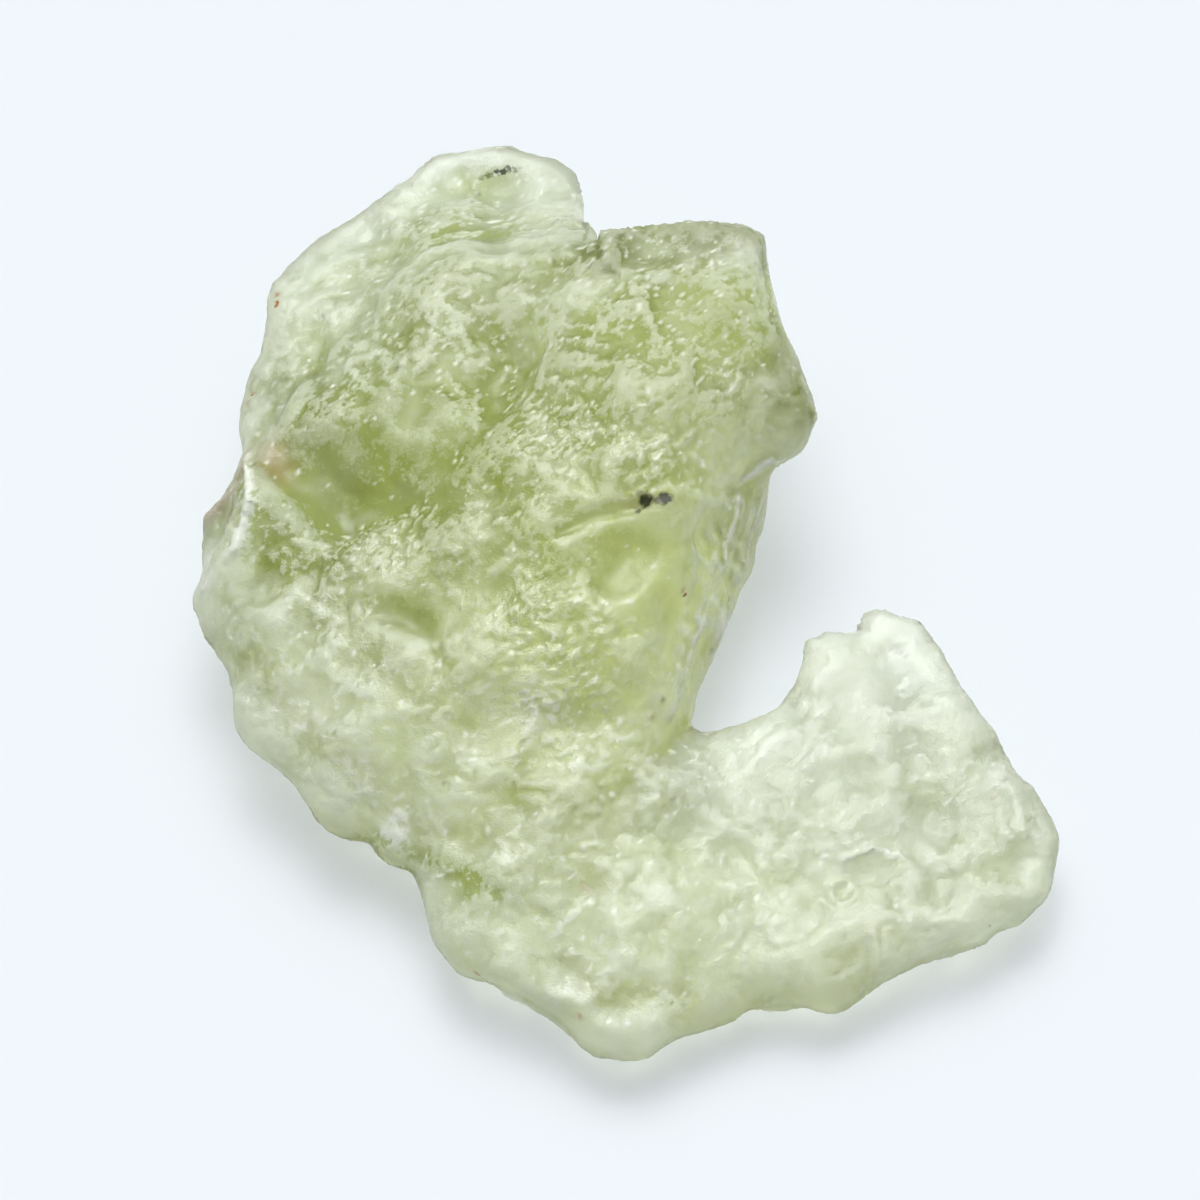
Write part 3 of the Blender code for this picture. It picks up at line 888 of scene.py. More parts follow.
@dataclass(frozen=True)
class DesertGlass:
    """The finish of the whole shard: clear yellow-green glass under a wind-frosted skin, with painted sheen
    on its lumps and painted highlights and glints.
    """

    clear: Colour = (0.95, 0.97, 0.86)
    deep: Colour = (0.345, 0.405, 0.075)
    pale_frost: Colour = (0.79, 0.84, 0.68)
    green_frost: Colour = (0.38, 0.44, 0.17)
    # White: for the haze, and for the painted highlights and glints.
    white: Colour = (0.97, 0.985, 0.90)
    rust: Colour = (0.36, 0.24, 0.09)
    pink: Colour = (0.62, 0.46, 0.42)
    olive: Colour = (0.36, 0.40, 0.13)
    soot: Colour = (0.030, 0.037, 0.008)
    iron: Colour = (0.40, 0.17, 0.03)
    grey: Colour = (0.30, 0.30, 0.27)
    body_tint: Colour = (0.80, 0.83, 0.0)
    body_density: float = 50.0
    stain_cover: float = 0.75
    ior: float = 1.46
    gloss_roughness: float = 0.16
    crease: float = 0.09
    lump_paleness: float = 4.5
    height_paleness: float = 0.55
    pale_from: float = -0.52
    pale_to: float = 0.58
    frost_by_paleness: tuple[float, float] = (0.25, 1.95)
    green_by_paleness: tuple[float, float] = (1.30, 0.50)
    haze_by_paleness: tuple[float, float] = (0.55, 1.25)
    most_frost: float = 0.92
    frost_roughness: float = 0.15
    bump_strength: float = 0.8
    bump_height: float = 0.20 * MM
    grain_shake: float = 0.7

    def make(self, skin: Skin, marks: dict[Fleck, tuple[Grain, ...]]) -> bpy.types.Material:
        """Builds the material.

        Args:
            skin: the shard's surface, for the places of the grains.
            marks: the small hard grains.

        Returns:
            The material.
        """
        material = bpy.data.materials.new("desert_glass_finish")
        board = NodeBoard(material)
        place = board.vectors("MULTIPLY", board.add("TexCoord").outputs["Object"], (1.0 / MM,) * 3).outputs[0]
        fine = board.add("TexNoise", Vector=place, Scale=2.0, Detail=3.0, Roughness=0.68)
        lumps = board.maths("ABSOLUTE", board.maths("SUBTRACT", fine.outputs["Fac"], 0.5))
        # The paleness is partly painted sheen: lump tops paler, creases greener.
        pale = self.paleness(board, lumps)
        frostier = board.ranged(pale, 0.0, 1.0, *self.frost_by_paleness)
        frost = board.maths("MULTIPLY", board.stored("frost"), frostier)
        frost = board.maths("MINIMUM", frost, self.most_frost)
        greener = board.ranged(pale, 0.0, 1.0, *self.green_by_paleness)
        green = board.maths("MULTIPLY", board.stored("deep"), greener)
        through = board.blend(green, self.clear, self.deep)
        worn = board.blend(green, self.pale_frost, self.green_frost)
        colour = board.blend(frost, through, worn)
        for stain, tone in ((Stain.OLIVE, self.olive), (Stain.RUST, self.rust), (Stain.PINK, self.pink)):
            colour = board.blend(board.stored(stain.name.lower()), colour, tone)
        # The haze stain also carries the painted highlights on the left ridge and the lip.
        hazier = board.ranged(pale, 0.0, 1.0, *self.haze_by_paleness)
        haze_and_highlight = board.maths("MULTIPLY", board.stored("haze_and_highlight"), hazier)
        # The sparkle specks are painted glints, put into the colour as white.
        white = board.maths("MAXIMUM", haze_and_highlight, board.stored("painted_sparkle"))
        colour = board.blend(white, colour, self.white)
        frost = board.maths("MAXIMUM", frost, white)
        stained = board.maths("MAXIMUM", board.stored("olive"), board.stored("rust"))
        frost = board.maths("MAXIMUM", frost, board.maths("MULTIPLY", stained, self.stain_cover))
        colour, dark = self.flecks(board, place, fine.outputs["Color"], colour, skin, marks)
        cover = board.maths("MAXIMUM", frost, dark)
        rougher = board.maths("MULTIPLY", frost, self.frost_roughness)
        rough = board.maths("ADD", board.stored("worn_roughness"), rougher)
        gloss = board.maths("MULTIPLY", board.stored("gloss"), board.maths("SUBTRACT", 1.0, dark))
        grain = self.grain_bump(board, lumps)
        shader = board.add(
            "BsdfPrincipled",
            Base_Color=colour,
            Roughness=rough,
            IOR=self.ior,
            Transmission_Weight=board.maths("SUBTRACT", 1.0, cover),
            Coat_Weight=gloss,
            Coat_Roughness=self.gloss_roughness,
            Coat_IOR=self.ior,
            Normal=grain,
            Coat_Normal=grain,
        )
        volume = board.add("VolumeAbsorption", Color=(*self.body_tint, 1.0), Density=self.body_density)
        board.add("OutputMaterial", Surface=shader.outputs[0], Volume=volume.outputs[0])
        return material

    def paleness(self, board: NodeBoard, lumps: bpy.types.NodeSocket) -> bpy.types.NodeSocket:
        """Where the skin stands proud and is drawn paler, and greener in the creases: partly wind frost,
        partly painted sheen on the lump tops.

        Args:
            board: the material's nodes.
            lumps: the height of the finest lumps, 0 in the creases between them.

        Returns:
            A share from 0 in hollows to 1 on lumps.
        """
        grain = board.maths("MULTIPLY", board.maths("SUBTRACT", lumps, self.crease), self.lump_paleness)
        height = board.maths("MULTIPLY", board.stored("raised"), self.height_paleness)
        both = board.maths("MULTIPLY", board.maths("ADD", height, grain), board.stored("mottle"))
        return board.ranged(both, self.pale_from, self.pale_to)

    def grain_bump(self, board: NodeBoard, lumps: bpy.types.NodeSocket) -> bpy.types.NodeSocket:
        """The finest relief, too small for the mesh.

        Args:
            board: the material's nodes.
            lumps: the height of the finest lumps.

        Returns:
            The normal's socket.
        """
        strength = board.ranged(board.stored("mottle"), 0.6, 1.5, 0.25, 1.0)
        height = board.maths("MULTIPLY", lumps, strength)
        bump = board.add("Bump", Height=height, Strength=self.bump_strength, Distance=self.bump_height)
        return bump.outputs["Normal"]

    def flecks(self, board: NodeBoard, place: bpy.types.NodeSocket, shake: bpy.types.NodeSocket,
               colour: bpy.types.NodeSocket, skin: Skin,
               marks: dict[Fleck, tuple[Grain, ...]]) -> tuple[bpy.types.NodeSocket, bpy.types.NodeSocket]:
        """Lays the small hard marks over the colour.

        Args:
            board: the material's nodes.
            place: the place on the skin, in millimetres.
            shake: random numbers that make the marks' edges ragged.
            colour: the colour below the marks.
            skin: the shard's surface.
            marks: the grains.

        Returns:
            The colour with the marks, and how far the marks cover the skin.
        """
        moved = board.vectors("MULTIPLY_ADD", shake, (self.grain_shake,) * 3, place).outputs[0]
        cover = None
        for kind, tone in ((Fleck.GREY, self.grey), (Fleck.IRON, self.iron), (Fleck.SOOT, self.soot)):
            share = board.stored("faint_" + kind.name.lower())
            for grain in marks[kind]:
                if grain.radius >= CRISP_GRAIN:
                    centre, _ = skin.anchor((grain.across, grain.up))
                    middle = tuple(centre + self.grain_shake / 2.0)
                    away = board.vectors("DISTANCE", moved, middle).outputs["Value"]
                    spot = board.ranged(away, grain.radius * 0.5, grain.radius * 1.2, grain.strength, 0.0)
                    share = board.maths("MAXIMUM", share, spot)
            colour = board.blend(share, colour, tone)
            cover = share if cover is None else board.maths("MAXIMUM", cover, share)
        return colour, cover


@dataclass(frozen=True)
class Studio:
    """The pale table and the soft light."""

    table_colour: Colour = (0.435, 0.456, 0.473)
    table_glow: Colour = (0.397, 0.419, 0.436)
    table_roughness: float = 0.9
    table_shine: float = 0.1
    table_size: float = 4.0
    sky: Colour = (0.97, 0.985, 1.0)
    sky_strength: float = 0.24
    window_way: tuple[float, float, float] = (-0.05, 0.45, 0.89)
    window_strength: float = 10.6
    window_narrowness: float = 19.0

    def build(self) -> None:
        """Makes the table and the sky."""
        scene = bpy.context.scene
        scene.view_settings.view_transform = "Standard"
        half = self.table_size / 2.0
        corners = [(-half, -half, 0.0), (half, -half, 0.0), (half, half, 0.0), (-half, half, 0.0)]
        mesh = bpy.data.meshes.new("table_top")
        mesh.from_pydata(corners, [], [(0, 1, 2, 3)])
        table = bpy.data.objects.new("table_top", mesh)
        scene.collection.objects.link(table)
        material = bpy.data.materials.new("matt_pale_table")
        material.cycles.emission_sampling = "NONE"
        board = NodeBoard(material)
        shader = board.add(
            "BsdfPrincipled",
            Base_Color=(*self.table_colour, 1.0),
            Roughness=self.table_roughness,
            Specular_IOR_Level=self.table_shine,
            Emission_Color=(*self.table_glow, 1.0),
            Emission_Strength=1.0,
        )
        board.add("OutputMaterial", Surface=shader.outputs[0])
        mesh.materials.append(material)
        self.light_sky(scene)
        log.info("studio: table %.1f m wide under a soft sky", self.table_size)

    def light_sky(self, scene: bpy.types.Scene) -> None:
        """Makes an even sky that grows brighter towards one wide soft window.

        Args:
            scene: the scene to light.
        """
        world = bpy.data.worlds.new("soft_sky")
        world.cycles.sampling_method = "NONE"
        board = NodeBoard(world)
        way = Vector(self.window_way).normalized()
        facing = board.vectors("DOT_PRODUCT", board.add("TexCoord").outputs["Generated"], way)
        above = board.maths("MAXIMUM", facing.outputs["Value"], 0.0)
        glow = board.maths("POWER", above, self.window_narrowness)
        window = board.maths("MULTIPLY", glow, self.window_strength)
        strength = board.maths("ADD", window, self.sky_strength)
        back = board.add("Background", Color=(*self.sky, 1.0), Strength=strength)
        board.add("OutputWorld", Surface=back.outputs[0])
        scene.world = world


OUTLINE = (
    (-16.65, 15.0), (-16.35, 15.85), (-15.0, 17.3), (-14.0, 18.2), (-12.9, 18.7), (-11.35, 19.85),
    (-10.0, 20.9), (-9.4, 21.2), (-8.5, 22.1), (-8.0, 22.35), (-7.4, 22.3), (-5.5, 22.7), (-4.35, 22.6),
    (-2.4, 22.0), (-1.9, 21.85), (-1.5, 21.6), (-1.15, 21.2), (-0.8, 19.6), (-0.9, 18.6), (-0.6, 18.55),
    (-0.15, 18.7), (1.6, 18.6), (3.5, 18.85), (5.25, 19.0), (6.75, 18.8), (7.1, 18.85), (8.0, 18.3),
    (8.25, 17.9), (8.5, 16.0), (9.0, 14.1), (9.85, 11.95), (10.7, 10.0), (10.85, 8.95), (10.55, 8.4),
    (10.4, 7.85), (10.15, 7.5), (9.8, 7.3), (9.55, 7.0), (8.75, 6.6), (8.55, 6.3), (8.25, 4.25),
    (8.15, 3.6), (7.85, 3.0), (7.7, 1.85), (7.5, 1.25), (7.15, 0.75), (6.4, -1.25), (5.45, -3.4),
    (4.85, -4.6), (4.5, -6.5), (5.5, -6.6), (7.15, -6.2), (8.9, -5.4), (9.8, -4.15), (10.25, -2.75),
    (10.2, -2.05), (11.5, -1.55), (12.15, -1.7), (13.0, -1.5), (13.05, -1.0), (13.45, -0.2), (14.65, -0.8),
    (16.0, -1.15), (17.0, -2.5), (18.0, -4.25), (19.2, -5.9), (19.65, -6.35), (19.9, -6.8), (20.0, -7.25),
    (20.9, -8.75), (21.2, -9.05), (21.55, -9.2), (22.5, -10.85), (22.8, -11.4), (23.0, -12.05),
    (22.55, -14.4), (22.4, -14.85), (21.1, -16.2), (19.75, -16.65), (19.3, -17.2), (17.25, -17.9),
    (16.1, -18.2), (14.35, -19.0), (12.15, -20.6), (11.4, -20.75), (10.1, -20.4), (9.2, -20.6),
    (7.85, -20.5), (7.35, -20.55), (6.85, -21.0), (6.0, -21.35), (4.05, -21.9), (3.45, -22.2), (2.5, -22.9),
    (1.65, -23.05), (-0.2, -22.9), (-0.9, -22.4), (-2.0, -21.25), (-3.95, -20.15), (-4.8, -19.8),
    (-5.0, -19.45), (-5.5, -19.15), (-6.7, -18.9), (-7.2, -18.55), (-8.2, -17.35), (-8.45, -16.8),
    (-8.95, -14.7), (-9.45, -13.55), (-10.5, -13.3), (-11.3, -12.55), (-11.3, -12.25), (-11.9, -12.05),
    (-12.6, -12.0), (-13.15, -11.85), (-14.15, -11.15), (-14.4, -10.6), (-14.85, -10.0), (-15.05, -9.55),
    (-15.55, -8.9), (-17.65, -7.35), (-18.25, -6.45), (-18.45, -4.15), (-18.6, -3.55), (-19.8, -1.75),
    (-20.0, -1.05), (-20.35, -0.35), (-20.25, 0.5), (-19.95, 1.05), (-19.85, 1.75), (-19.9, 2.35),
    (-19.75, 3.3), (-19.85, 4.0), (-19.65, 4.35), (-19.05, 4.9), (-18.2, 6.2), (-18.05, 6.95),
    (-17.8, 7.45), (-18.05, 8.35), (-17.9, 9.9), (-17.4, 11.6), (-17.0, 12.2), (-16.6, 14.4),
)

PATCHES = {
    Weather.CLEAR: ellipses(
        (-8.0, 19.5, 9.0, 3.0, 0.8, 22.0), (-14.5, 13.5, 2.4, 5.0, 0.8, -35.0), (13.0, -7.0, 9.0, 6.0, 0.9),
    ),
    Weather.MATT: ellipses(
        (-8.5, 18.6, 9.0, 2.4, 0.7, 20.0), (5.0, 14.0, 5.5, 4.5, 0.95), (8.0, 9.0, 2.8, 3.0, 0.7),
        (4.0, 17.6, 6.8, 1.9, 0.95),
    ),
    Weather.WRINKLED: ellipses(
        (-1.0, 16.7, 8.0, 1.7, 0.9), (-1.2, 12.8, 2.4, 1.9, 1.0, 10.0),
    ),
    Weather.MILKY: ellipses(
        (-8.1, 14.1, 1.3, 1.1, 0.45, 10.0), (-11.5, 13.3, 1.0, 1.4, 0.4, 20.0), (-3.1, 10.6, 1.4, 0.9, 0.5),
        (5.4, -3.0, 1.8, 3.4, 0.9), (-14.2, -5.4, 3.4, 1.8, 0.8, -8.0), (-3.0, -6.2, 4.4, 2.4, 0.55),
        (0.0, -18.8, 5.5, 2.0, 0.45), (-9.5, -11.0, 2.4, 1.6, 0.4, -30.0),
        (-13.0, -9.4, 2.6, 1.2, 0.5, -30.0), (6.2, -8.2, 2.0, 2.0, 0.7), (11.0, -9.0, 4.6, 3.2, 0.35, 20.0),
        (12.0, -3.6, 3.4, 1.8, 0.4, 10.0), (-15.0, -2.0, 2.6, 1.8, 0.4),
    ),
    Weather.SMOOTH: ellipses(
        (-9.2, 8.4, 3.2, 3.2, 0.9), (-13.0, 6.0, 3.6, 2.6, 0.9), (-8.9, -0.8, 2.6, 1.2, 0.9, -20.0),
        (1.6, 1.6, 3.6, 2.2, 0.8), (8.9, 12.0, 1.2, 1.2, 0.8),
    ),
    Weather.PITTED: ellipses(
        (-2.4, -3.6, 3.2, 4.4, 0.9), (-11.2, 3.4, 2.8, 2.0, 0.9), (-2.5, 8.2, 2.6, 1.4, 0.9, 10.0),
        (2.0, 8.2, 3.4, 1.6, 0.9, 10.0), (6.5, 10.5, 2.0, 2.0, 0.8), (-3.4, 0.2, 1.8, 1.4, 0.8),
    ),
    Weather.STREAKED: ellipses(
        (6.2, -0.5, 2.2, 6.5, 1.0),
    ),
}

BLOTCHES = {
    Stain.DEEP: ellipses(
        (1.5, 12.5, 10.5, 6.0, 0.75), (0.0, 17.4, 9.0, 1.6, 0.55, 2.0), (4.0, 18.0, 6.5, 1.5, 0.55),
        (-0.6, -4.6, 2.3, 3.2, 0.34), (-18.0, 5.4, 1.8, 2.4, 0.4, 20.0), (-10.5, 16.8, 6.0, 2.0, 0.3, 35.0),
        (-15.4, 2.6, 3.2, 3.6, 0.4), (-10.0, 8.8, 7.0, 3.0, 0.25), (-7.0, 20.0, 8.5, 3.0, 0.24, 15.0),
        (-15.0, 13.0, 3.0, 4.5, 0.22, -30.0), (3.4, 6.2, 3.2, 1.9, 0.35), (-10.0, 9.4, 6.0, 2.4, 0.28),
        (-15.0, 4.0, 2.8, 3.0, 0.4), (-3.0, 0.4, 2.2, 2.0, 0.32), (-6.2, -2.6, 2.4, 2.0, 0.26),
        (-5.8, -8.6, 2.2, 1.6, 0.24), (17.5, -14.4, 5.5, 2.0, 0.16, 10.0), (-9.0, 11.0, 7.0, 4.0, 0.2),
        (-16.0, 4.0, 3.6, 4.2, 0.26), (-2.6, 8.4, 3.2, 2.4, 0.24), (-8.4, 15.0, 9.0, 7.0, 0.34, 15.0),
        (-10.0, 3.6, 9.5, 6.0, 0.34), (4.0, 14.4, 6.5, 4.0, 0.4), (-4.6, 10.8, 1.4, 4.2, 0.35),
        (-14.4, 11.6, 1.8, 3.4, 0.45, -20.0), (17.0, -10.0, 5.5, 6.0, 0.16), (-3.0, 0.6, 3.0, 3.0, 0.3),
        (-8.6, -13.0, 2.6, 0.8, 0.8, -28.0), (-6.0, -14.4, 2.2, 1.4, 0.6, -20.0),
        (-8.0, 19.8, 9.0, 2.5, 0.2, 22.0), (-5.9, 20.9, 2.8, 1.3, 0.42, 15.0),
        (-7.0, 18.4, 6.5, 2.2, 0.6, 8.0), (-8.6, 13.6, 5.4, 3.6, 0.34), (4.6, 14.6, 5.0, 3.0, 0.45),
        (-9.0, 7.0, 7.5, 5.0, 0.34), (-6.0, -14.3, 1.8, 1.5, 0.55), (20.4, -13.0, 2.0, 3.6, 0.22),
        (-0.6, 3.6, 7.4, 5.8, 0.52), (-10.5, 6.5, 8.5, 5.0, 0.5), (0.0, -9.0, 5.5, 6.0, 0.1),
        (-5.5, 18.2, 3.5, 1.1, 0.3, 4.0), (-7.5, 12.5, 2.0, 2.0, 0.3), (-11.5, 9.8, 5.2, 2.1, 0.6),
        (-15.4, 4.2, 3.2, 3.4, 0.8), (-11.0, 8.6, 9.0, 5.0, 0.3), (5.8, 15.2, 3.4, 2.8, 0.8),
        (6.4, 3.0, 1.8, 3.4, 0.35), (-12.2, 6.4, 5.4, 1.9, 0.7, 8.0), (-13.0, 8.4, 4.4, 2.8, 0.4, 10.0),
        (-8.0, 5.0, 1.6, 2.2, 0.5), (-9.5, 12.2, 1.1, 2.8, 0.5), (-6.2, 10.6, 2.2, 1.4, 0.5),
        (-4.6, 8.6, 1.8, 1.3, 0.55, 20.0), (-1.6, 9.4, 3.2, 1.0, 0.4, 15.0), (-14.4, 2.2, 2.2, 1.5, 0.5),
        (-9.4, -0.6, 2.9, 1.2, 0.7, -24.0), (4.0, 5.1, 3.4, 0.55, 0.7, 4.0), (8.3, 12.4, 0.9, 1.3, 0.6),
        (9.8, 9.8, 0.8, 1.1, 0.5), (-10.9, -12.2, 1.4, 0.7, 0.9, -40.0),
        (-7.0, -13.6, 2.4, 0.9, 0.45, -25.0), (1.0, -22.5, 3.4, 0.6, 0.6),
        (-3.0, -20.5, 2.6, 0.6, 0.5, -38.0), (6.5, -20.9, 3.8, 0.6, 0.5, 14.0),
        (12.2, -20.2, 3.2, 0.6, 0.45, 12.0), (17.6, -17.4, 2.8, 0.6, 0.35, 20.0),
        (21.6, -15.3, 1.6, 0.6, 0.45, 50.0), (10.2, 10.6, 0.5, 2.8, 0.92, 20.0),
        (8.9, 14.6, 0.5, 2.6, 0.92, 14.0), (16.5, -9.8, 3.4, 1.3, 0.18, -12.0),
    ),
    Stain.HAZE_AND_HIGHLIGHT: ellipses(
        (-4.4, -5.4, 3.4, 2.2, 0.48), (-14.9, -5.4, 3.2, 1.9, 0.5, -8.0),
        (-12.0, -8.5, 2.8, 1.7, 0.52, -20.0), (-10.2, -11.2, 2.8, 1.6, 0.66, -25.0),
        (-17.0, 11.6, 0.5, 1.5, 0.25, 20.0), (-4.0, -20.2, 3.0, 1.3, 0.6, -20.0),
        (6.0, -20.3, 2.4, 0.9, 0.35, 10.0), (3.0, -5.4, 1.5, 1.8, 0.36), (6.2, -1.8, 1.3, 3.6, 0.75),
        (14.6, -11.5, 3.6, 1.8, 0.46, 10.0), (0.0, -11.4, 2.2, 1.6, 0.25), (-2.8, -5.4, 2.0, 1.8, 0.32),
        (0.0, -7.2, 2.6, 2.4, 0.24), (7.3, -8.4, 3.4, 1.9, 0.42, 20.0), (12.4, -4.4, 3.6, 2.6, 0.38, -10.0),
        (14.0, -1.9, 1.8, 1.4, 0.35), (-11.6, 15.4, 3.4, 2.0, 0.2, 38.0),
    ),
    Stain.OLIVE: ellipses(
        (5.6, 14.8, 3.2, 2.8, 0.38), (9.5, 10.6, 1.2, 2.6, 0.45, 18.0), (-17.6, 6.4, 1.4, 1.8, 0.35, 20.0),
        (-5.8, 20.9, 1.6, 0.6, 0.35, 15.0), (2.7, 5.0, 1.8, 0.65, 0.8, 6.0),
    ),
    Stain.RUST: ellipses(
        (-16.2, 6.8, 1.2, 1.8, 0.75, 20.0), (2.4, 5.0, 1.6, 0.5, 0.35, 6.0),
    ),
    Stain.PINK: ellipses(
        (-18.7, 4.8, 0.9, 2.6, 0.55, 15.0),
    ),
}

VEINS = {
    Stain.OLIVE: (
        Vein(((-0.4, 18.0), (2.4, 18.1), (5.0, 18.3), (7.6, 18.0)), 0.8, 0.32),
        Vein(((8.05, 17.9), (8.37, 16.0), (8.87, 14.1), (9.7, 11.95), (10.54, 10.0), (10.68, 8.9)),
             0.22, 0.95),
        Vein(((-19.95, 1.05), (-20.3, -0.3), (-19.8, -1.7), (-18.6, -3.5), (-18.4, -4.6)), 0.16, 0.7),
        Vein(((-14.4, -10.6), (-14.1, -11.1), (-13.1, -11.8), (-11.4, -12.3), (-10.5, -13.2)), 0.3, 0.8),
        Vein(((-8.3, -17.2), (-6.9, -18.7), (-4.9, -19.4), (-2.0, -21.1), (0.0, -22.8)), 0.45, 0.45),
        Vein(((0.0, -22.8), (2.4, -22.8), (4.0, -21.8), (7.0, -20.8), (9.6, -20.4), (12.0, -20.5)),
             0.6, 0.5),
        Vein(((12.0, -20.5), (14.4, -18.9), (17.2, -17.8), (19.4, -17.0), (21.1, -16.0), (22.4, -14.6)),
             0.55, 0.5),
    ),
    Stain.HAZE_AND_HIGHLIGHT: (
        Vein(((1.6, 17.5), (3.2, 17.5), (5.0, 17.7), (7.4, 17.6)), 0.9, 0.38),
        # Painted highlight along the left ridge.
        Vein(((-17.6, 6.6), (-17.5, 5.0), (-18.25, 2.5), (-19.6, 0.7)), 0.42, 0.55),
        Vein(((7.0, 5.4), (6.25, 2.0), (4.6, -2.5), (3.7, -5.6)), 0.34, 0.35),
        # Painted highlight along the lip below the block's tip.
        Vein(((7.0, 5.75), (8.35, 6.9), (9.75, 7.2), (10.25, 7.25)), 0.22, 0.6),
    ),
    Stain.DEEP: (
        Vein(((7.6, 18.5), (8.25, 17.6), (8.45, 16.0), (8.95, 14.2), (9.8, 12.0), (10.6, 10.0),
              (10.75, 8.9)), 0.45, 0.95),
        Vein(((-0.6, 18.45), (1.6, 18.5), (5.2, 18.9), (7.4, 18.6)), 0.35, 0.8),
        Vein(((-14.3, -10.8), (-13.0, -11.8), (-11.4, -12.3), (-10.4, -13.2), (-9.1, -14.2)), 0.45, 0.85),
        Vein(((22.4, -14.6), (22.9, -12.0), (21.2, -9.1)), 0.4, 0.35),
    ),
    Stain.PINK: (
        Vein(((-17.9, 7.3), (-18.3, 6.2), (-19.1, 4.8), (-19.6, 4.3)), 0.55, 0.6),
    ),
}

HOLLOWS = ellipses(
    (-0.6, 18.3, 0.8, 0.8, -0.35), (-12.5, 5.0, 3.6, 2.4, 0.35), (-8.2, 14.0, 1.2, 1.1, 0.15),
    (-9.8, -0.8, 2.6, 1.4, 0.3, -25.0), (-5.2, 10.8, 1.6, 2.2, 0.2), (1.8, 2.0, 3.8, 2.4, 0.08),
    (8.6, 12.0, 1.1, 0.9, 0.15), (-5.6, -6.4, 2.0, 1.4, 0.18, -20.0), (0.6, -9.2, 1.5, 2.6, 0.16),
    (13.6, -13.8, 1.6, 0.9, 0.1, 10.0), (9.0, 9.6, 0.9, 1.1, 0.12),
)

CRESTS = (
    # The first two, the left ridge and the lip, carry frost as a painted highlight.
    Crest(((-17.75, 7.25), (-17.5, 5.0), (-18.25, 2.5), (-19.75, 0.5)), 0.2, 0.28, 0.75),
    Crest(((7.0, 5.75), (8.35, 6.9), (9.75, 7.2), (10.25, 7.25)), 0.2, 0.15, 0.5),
    Crest(((-2.0, 3.5), (0.0, 4.25), (2.0, 4.75), (6.0, 5.5), (7.25, 5.6)), 0.35, -0.28),
    Crest(((-6.25, 16.75), (-4.8, 16.6), (-3.1, 16.75), (-1.4, 17.0)), 0.22, -0.12),
    Crest(((-5.45, 16.35), (-3.5, 16.45), (-2.2, 16.05), (0.0, 16.2), (2.6, 15.9)), 0.2, -0.09),
    Crest(((-3.0, 13.9), (-1.25, 14.1), (0.6, 13.8)), 0.2, -0.14),
    Crest(((-3.1, 13.2), (-1.5, 13.4), (0.5, 13.1)), 0.2, -0.14),
    Crest(((-2.9, 12.5), (-1.25, 12.7), (0.3, 12.4)), 0.2, -0.14),
    Crest(((-2.6, 11.35), (-1.25, 11.25), (0.4, 11.5)), 0.25, -0.22),
    Crest(((-8.75, 17.75), (-7.45, 18.15), (-6.1, 18.3), (-4.8, 18.7)), 0.4, 0.1, 0.15),
    Crest(((-7.4, 15.1), (-6.4, 14.4), (-6.1, 13.0)), 0.3, -0.16),
    Crest(((-12.9, 11.9), (-12.2, 11.2), (-11.3, 10.3)), 0.3, 0.1, 0.12),
    Crest(((6.75, -8.5), (8.0, -6.9), (8.9, -6.1)), 0.3, -0.16),
    Crest(((12.15, -13.1), (12.8, -12.7), (13.5, -12.5), (14.3, -12.6), (15.0, -12.9)), 0.18, 0.22, 0.45),
    Crest(((-1.25, -12.25), (1.5, -12.25)), 0.14, 0.08, 0.3),
    Crest(((-0.5, -15.0), (-2.25, -16.75)), 0.2, 0.1, 0.3),
    Crest(((5.0, 5.4), (4.6, 2.0), (4.1, -2.0), (3.4, -6.0)), 0.4, 0.12, 0.1),
    Crest(((7.0, 5.4), (6.25, 2.0), (4.6, -2.5), (3.5, -6.0)), 0.16, 0.1, 0.35),
    Crest(((8.0, 4.8), (7.25, 1.5), (5.6, -2.7)), 0.16, 0.1, 0.35),
    Crest(((6.4, 4.8), (5.8, 2.0), (4.8, -1.0)), 0.14, 0.08, 0.3),
    Crest(((7.4, 5.0), (6.7, 1.7), (5.1, -2.7)), 0.18, -0.12),
)

LEDGES = (
    Ledge(((3.0, 13.4), (2.4, 14.8), (1.2, 15.0)), 0.15, 0.12, 1.2),
    Ledge(((-0.85, 18.4), (-4.5, 18.0), (-8.5, 17.6), (-11.0, 15.3), (-13.5, 12.4), (-16.4, 8.6)),
          0.35, 0.25, 1.5),
)

RINGS = (
    BubbleRing(10.9, -6.15, 0.26, 0.1, 0.14),
    BubbleRing(12.15, -14.65, 0.65, 0.12, 0.18),
    BubbleRing(11.4, -12.65, 0.28, 0.1, 0.12),
)

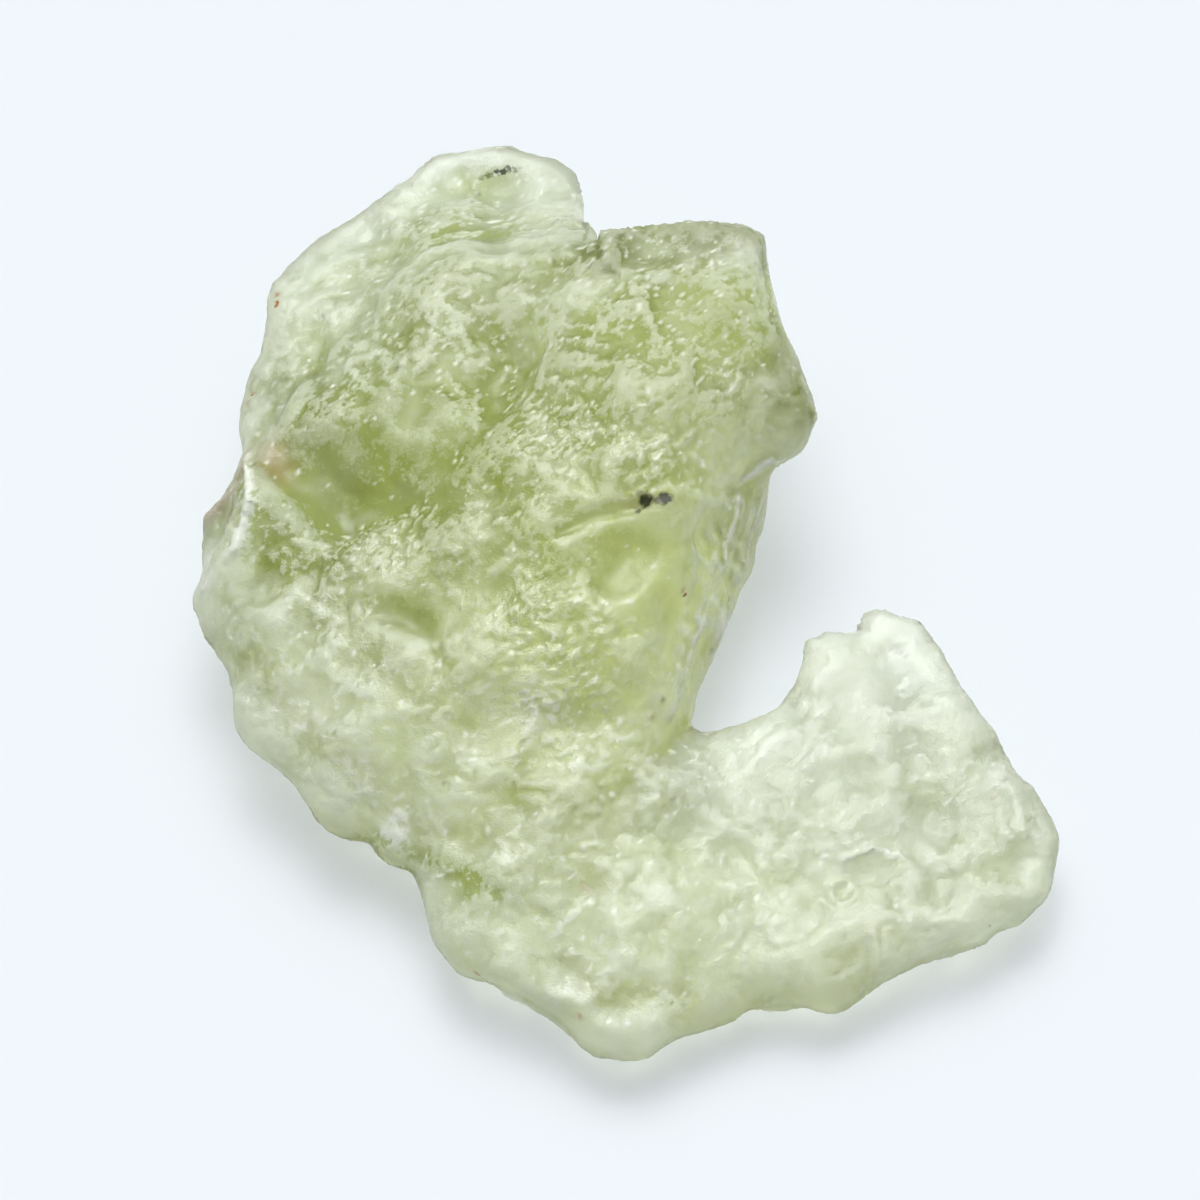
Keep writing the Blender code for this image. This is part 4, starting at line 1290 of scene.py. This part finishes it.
GRAINS = {
    Fleck.SOOT: grains(
        (2.35, 4.95, 0.46), (3.2, 5.12, 0.44), (2.8, 5.0, 0.28, 0.8), (1.9, 4.45, 0.28, 0.8),
        (2.0, 5.3, 0.2, 0.5), (-5.9, 21.08, 0.16, 0.5), (-5.62, 21.22, 0.19, 0.7), (-5.38, 21.2, 0.16, 0.6),
        (-5.1, 21.38, 0.22, 0.9), (-4.82, 21.4, 0.2, 0.9), (-4.58, 21.52, 0.18, 0.8),
        (-4.25, 21.5, 0.16, 0.6), (-4.02, 21.6, 0.15, 0.4), (-6.1, 20.3, 0.1, 0.7),
        (-13.95, 14.15, 0.09, 0.6), (-10.1, 11.6, 0.13, 0.9), (-1.2, -10.4, 0.08, 0.6),
        (-7.8, -9.15, 0.08, 0.6), (3.65, -10.0, 0.08, 0.6), (5.55, -2.5, 0.1, 0.6), (3.15, -5.0, 0.12, 0.7),
    ),
    Fleck.IRON: grains(
        (-16.15, 14.85, 0.2), (-16.15, 15.25, 0.1), (-17.35, 10.35, 0.15), (-17.6, 9.9, 0.1, 0.7),
        (4.25, 0.25, 0.15), (4.15, 0.5, 0.1), (2.7, -5.9, 0.12, 0.8), (-0.8, -14.35, 0.1, 0.8),
        (-0.5, -14.6, 0.1, 0.8), (-6.15, -18.7, 0.2, 0.7), (-4.8, -19.7, 0.14, 0.7),
        (-1.0, -20.85, 0.09, 0.7), (19.5, -16.3, 0.16, 0.5), (13.75, -18.6, 0.14, 0.5),
        (17.75, -11.75, 0.1, 0.35), (18.3, -11.4, 0.1, 0.35), (19.6, -9.9, 0.12, 0.35),
    ),
    Fleck.GREY: grains(
        (14.65, -2.4, 0.12, 0.7), (14.95, -2.6, 0.14, 0.8), (15.25, -2.8, 0.1, 0.6),
        (12.2, -16.8, 0.09, 0.7), (16.3, -16.55, 0.09, 0.7), (18.8, -17.4, 0.09, 0.6),
    ),
}


def main() -> None:
    """Builds the table, the camera and the shard, and puts the finish on the shard."""
    view = Viewpoint()
    view.place_camera()
    Studio().build()
    shard = Shard(view, Outline(OUTLINE), PATCHES, BLOTCHES, VEINS, HOLLOWS, CRESTS, LEDGES, RINGS, GRAINS)
    piece = shard.build()
    finish = DesertGlass().make(Skin(piece.data, view), GRAINS)
    piece.data.materials.clear()
    piece.data.materials.append(finish)


if __name__ == "__main__":
    logging.basicConfig(level=logging.INFO)
    main()
